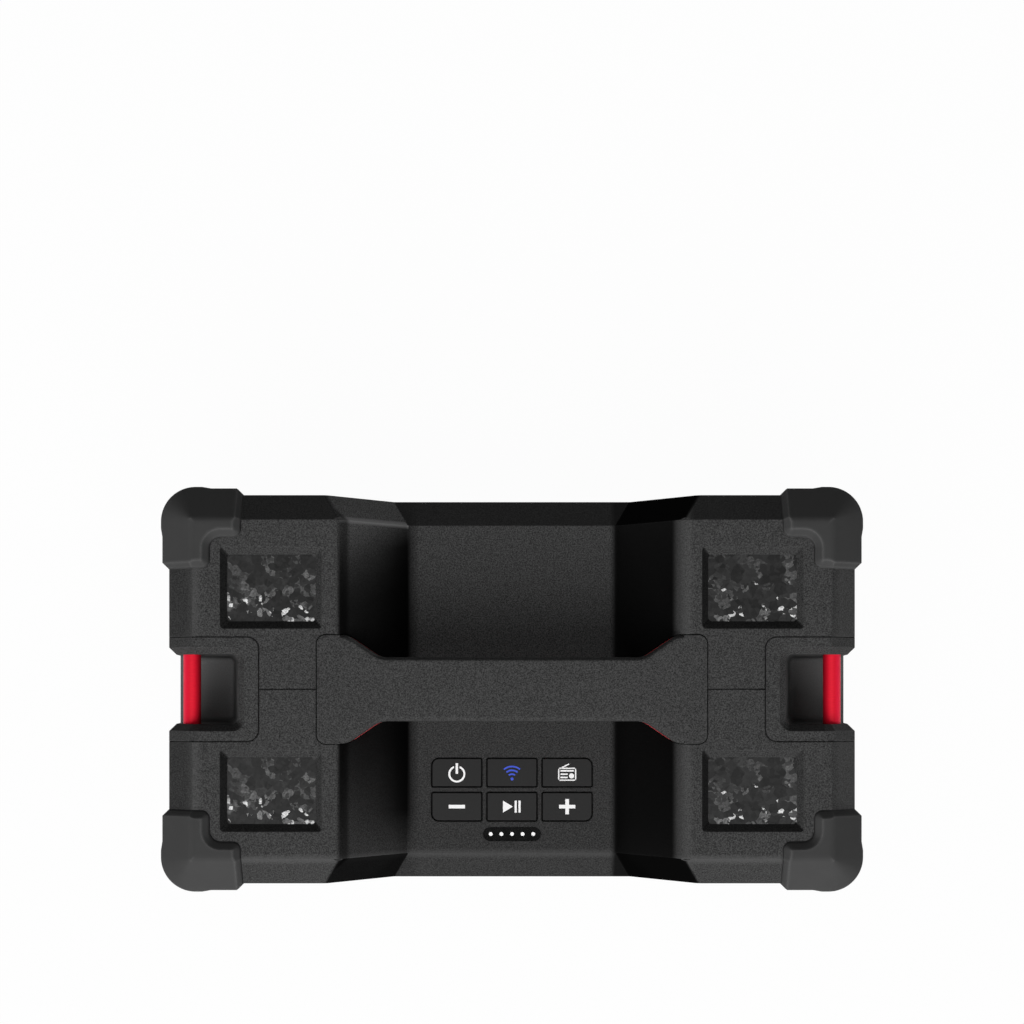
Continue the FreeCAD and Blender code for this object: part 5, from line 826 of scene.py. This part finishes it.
pairing = bmesh.new()
disc(pairing, 0, -3.2, 0.75)
for reach in (2.4, 4.3, 6.2):
    arc(pairing, 0, -3.2, reach, 0.8, 50, 130)
finish_mark(pairing, "mark_pairing", "pairing_button", "pairing_button", blue_ink)

radio = bmesh.new()
frame_bars = ((0, 2.1, 9.0, 0.6), (0, -3.8, 9.0, 0.6), (-4.2, -0.85, 0.6, 6.5), (4.2, -0.85, 0.6, 6.5))
dial_bars = ((0, 0.85, 6.7, 0.8), (-1.55, -0.85, 3.6, 0.75), (-1.55, -2.45, 3.6, 0.75))
for x, y, width, height in frame_bars + dial_bars:
    bar(radio, x, y, width, height)
bar(radio, -1.05, 3.25, 4.6, 0.6, 27)
disc(radio, 2.2, -1.7, 1.25)
finish_mark(radio, "mark_radio", "radio_button", "radio_button", white_ink)

minus = bmesh.new()
bar(minus, 0, 0, 8.1, 1.8)
finish_mark(minus, "mark_volume_down", "volume_down_button", "volume_down_button", white_ink)

play = bmesh.new()
disc(play, -2.85, 0, 3.43, 3, -90, 0.96)
bar(play, 1.85, 0, 1.06, 6.0)
bar(play, 3.75, 0, 1.06, 6.0)
finish_mark(play, "mark_play_pause", "play_pause_button", "play_pause_button", white_ink)

plus = bmesh.new()
bar(plus, 0, 0, 8.1, 1.8)
bar(plus, 0, 2.35, 1.8, 2.9)
bar(plus, 0, -2.35, 1.8, 2.9)
finish_mark(plus, "mark_volume_up", "volume_up_button", "volume_up_button", white_ink)
print("marks made")

# %% [markdown]
# ## Lights in the dark window
#
# Five round light guides end flush in the dark strip. They are milky, so they look like white dots
# also while the lights are off.

# %% Light guides
GUIDE_PITCH = 5.3 * MM
GUIDE_RADIUS = 0.95 * MM
GUIDE_HEIGHT = 0.12 * MM

milky = grained("resin_cast_milky", "#f2f2f2", "#ffffff", 1 * MM, (0.3, 0.4), 0.02, IOR=1.5)
low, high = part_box("led_window")
guides = bmesh.new()
for number in (-2, -1, 0, 1, 2):
    centre = Matrix.Translation((number * GUIDE_PITCH, (low.y + high.y) / 2, high.z))
    bmesh.ops.create_cone(guides, cap_ends=True, segments=32, radius1=GUIDE_RADIUS, radius2=GUIDE_RADIUS,
                          depth=GUIDE_HEIGHT, matrix=centre)
light_guides = as_object(guides, "light_guides", milky)
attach(light_guides, "housing")
print("light guides on a pitch of", GUIDE_PITCH / MM, "mm")

# %% [markdown]
# ## Foam seals beside the strap anchors
#
# A strip of black foam, 0.27 mm thick, closes the 0.3 mm gap between each anchor panel and the
# housing where the gap runs out at the side, so that no light shows through it. It is glued to the
# housing and stays just clear of both walls of the gap.

# %% Foam seals
STRIP = (2.9 * MM, 0.27 * MM, 53.4 * MM)
STRIP_OUT = 164.5 * MM
STRIP_IN_GAP = 25.15 * MM
STRIP_HEIGHT = 168.6 * MM

foam = grained("polyurethane_foam_black", "#0c0c0c", "#141414", 0.5 * MM, (0.85, 0.95), 0.3, IOR=1.4)
seals = bmesh.new()
for side in (-1, 1):
    for end in (-1, 1):
        middle = Matrix.Translation((side * STRIP_OUT, end * STRIP_IN_GAP, STRIP_HEIGHT))
        bmesh.ops.create_cube(seals, size=1.0, matrix=middle @ Matrix.Diagonal((*STRIP, 1.0)))
foam_seals = as_object(seals, "foam_seals", foam)
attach(foam_seals, "housing")
print("foam strips, in millimetres:", [round(side / MM, 2) for side in STRIP])

# %% Finish
low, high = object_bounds()
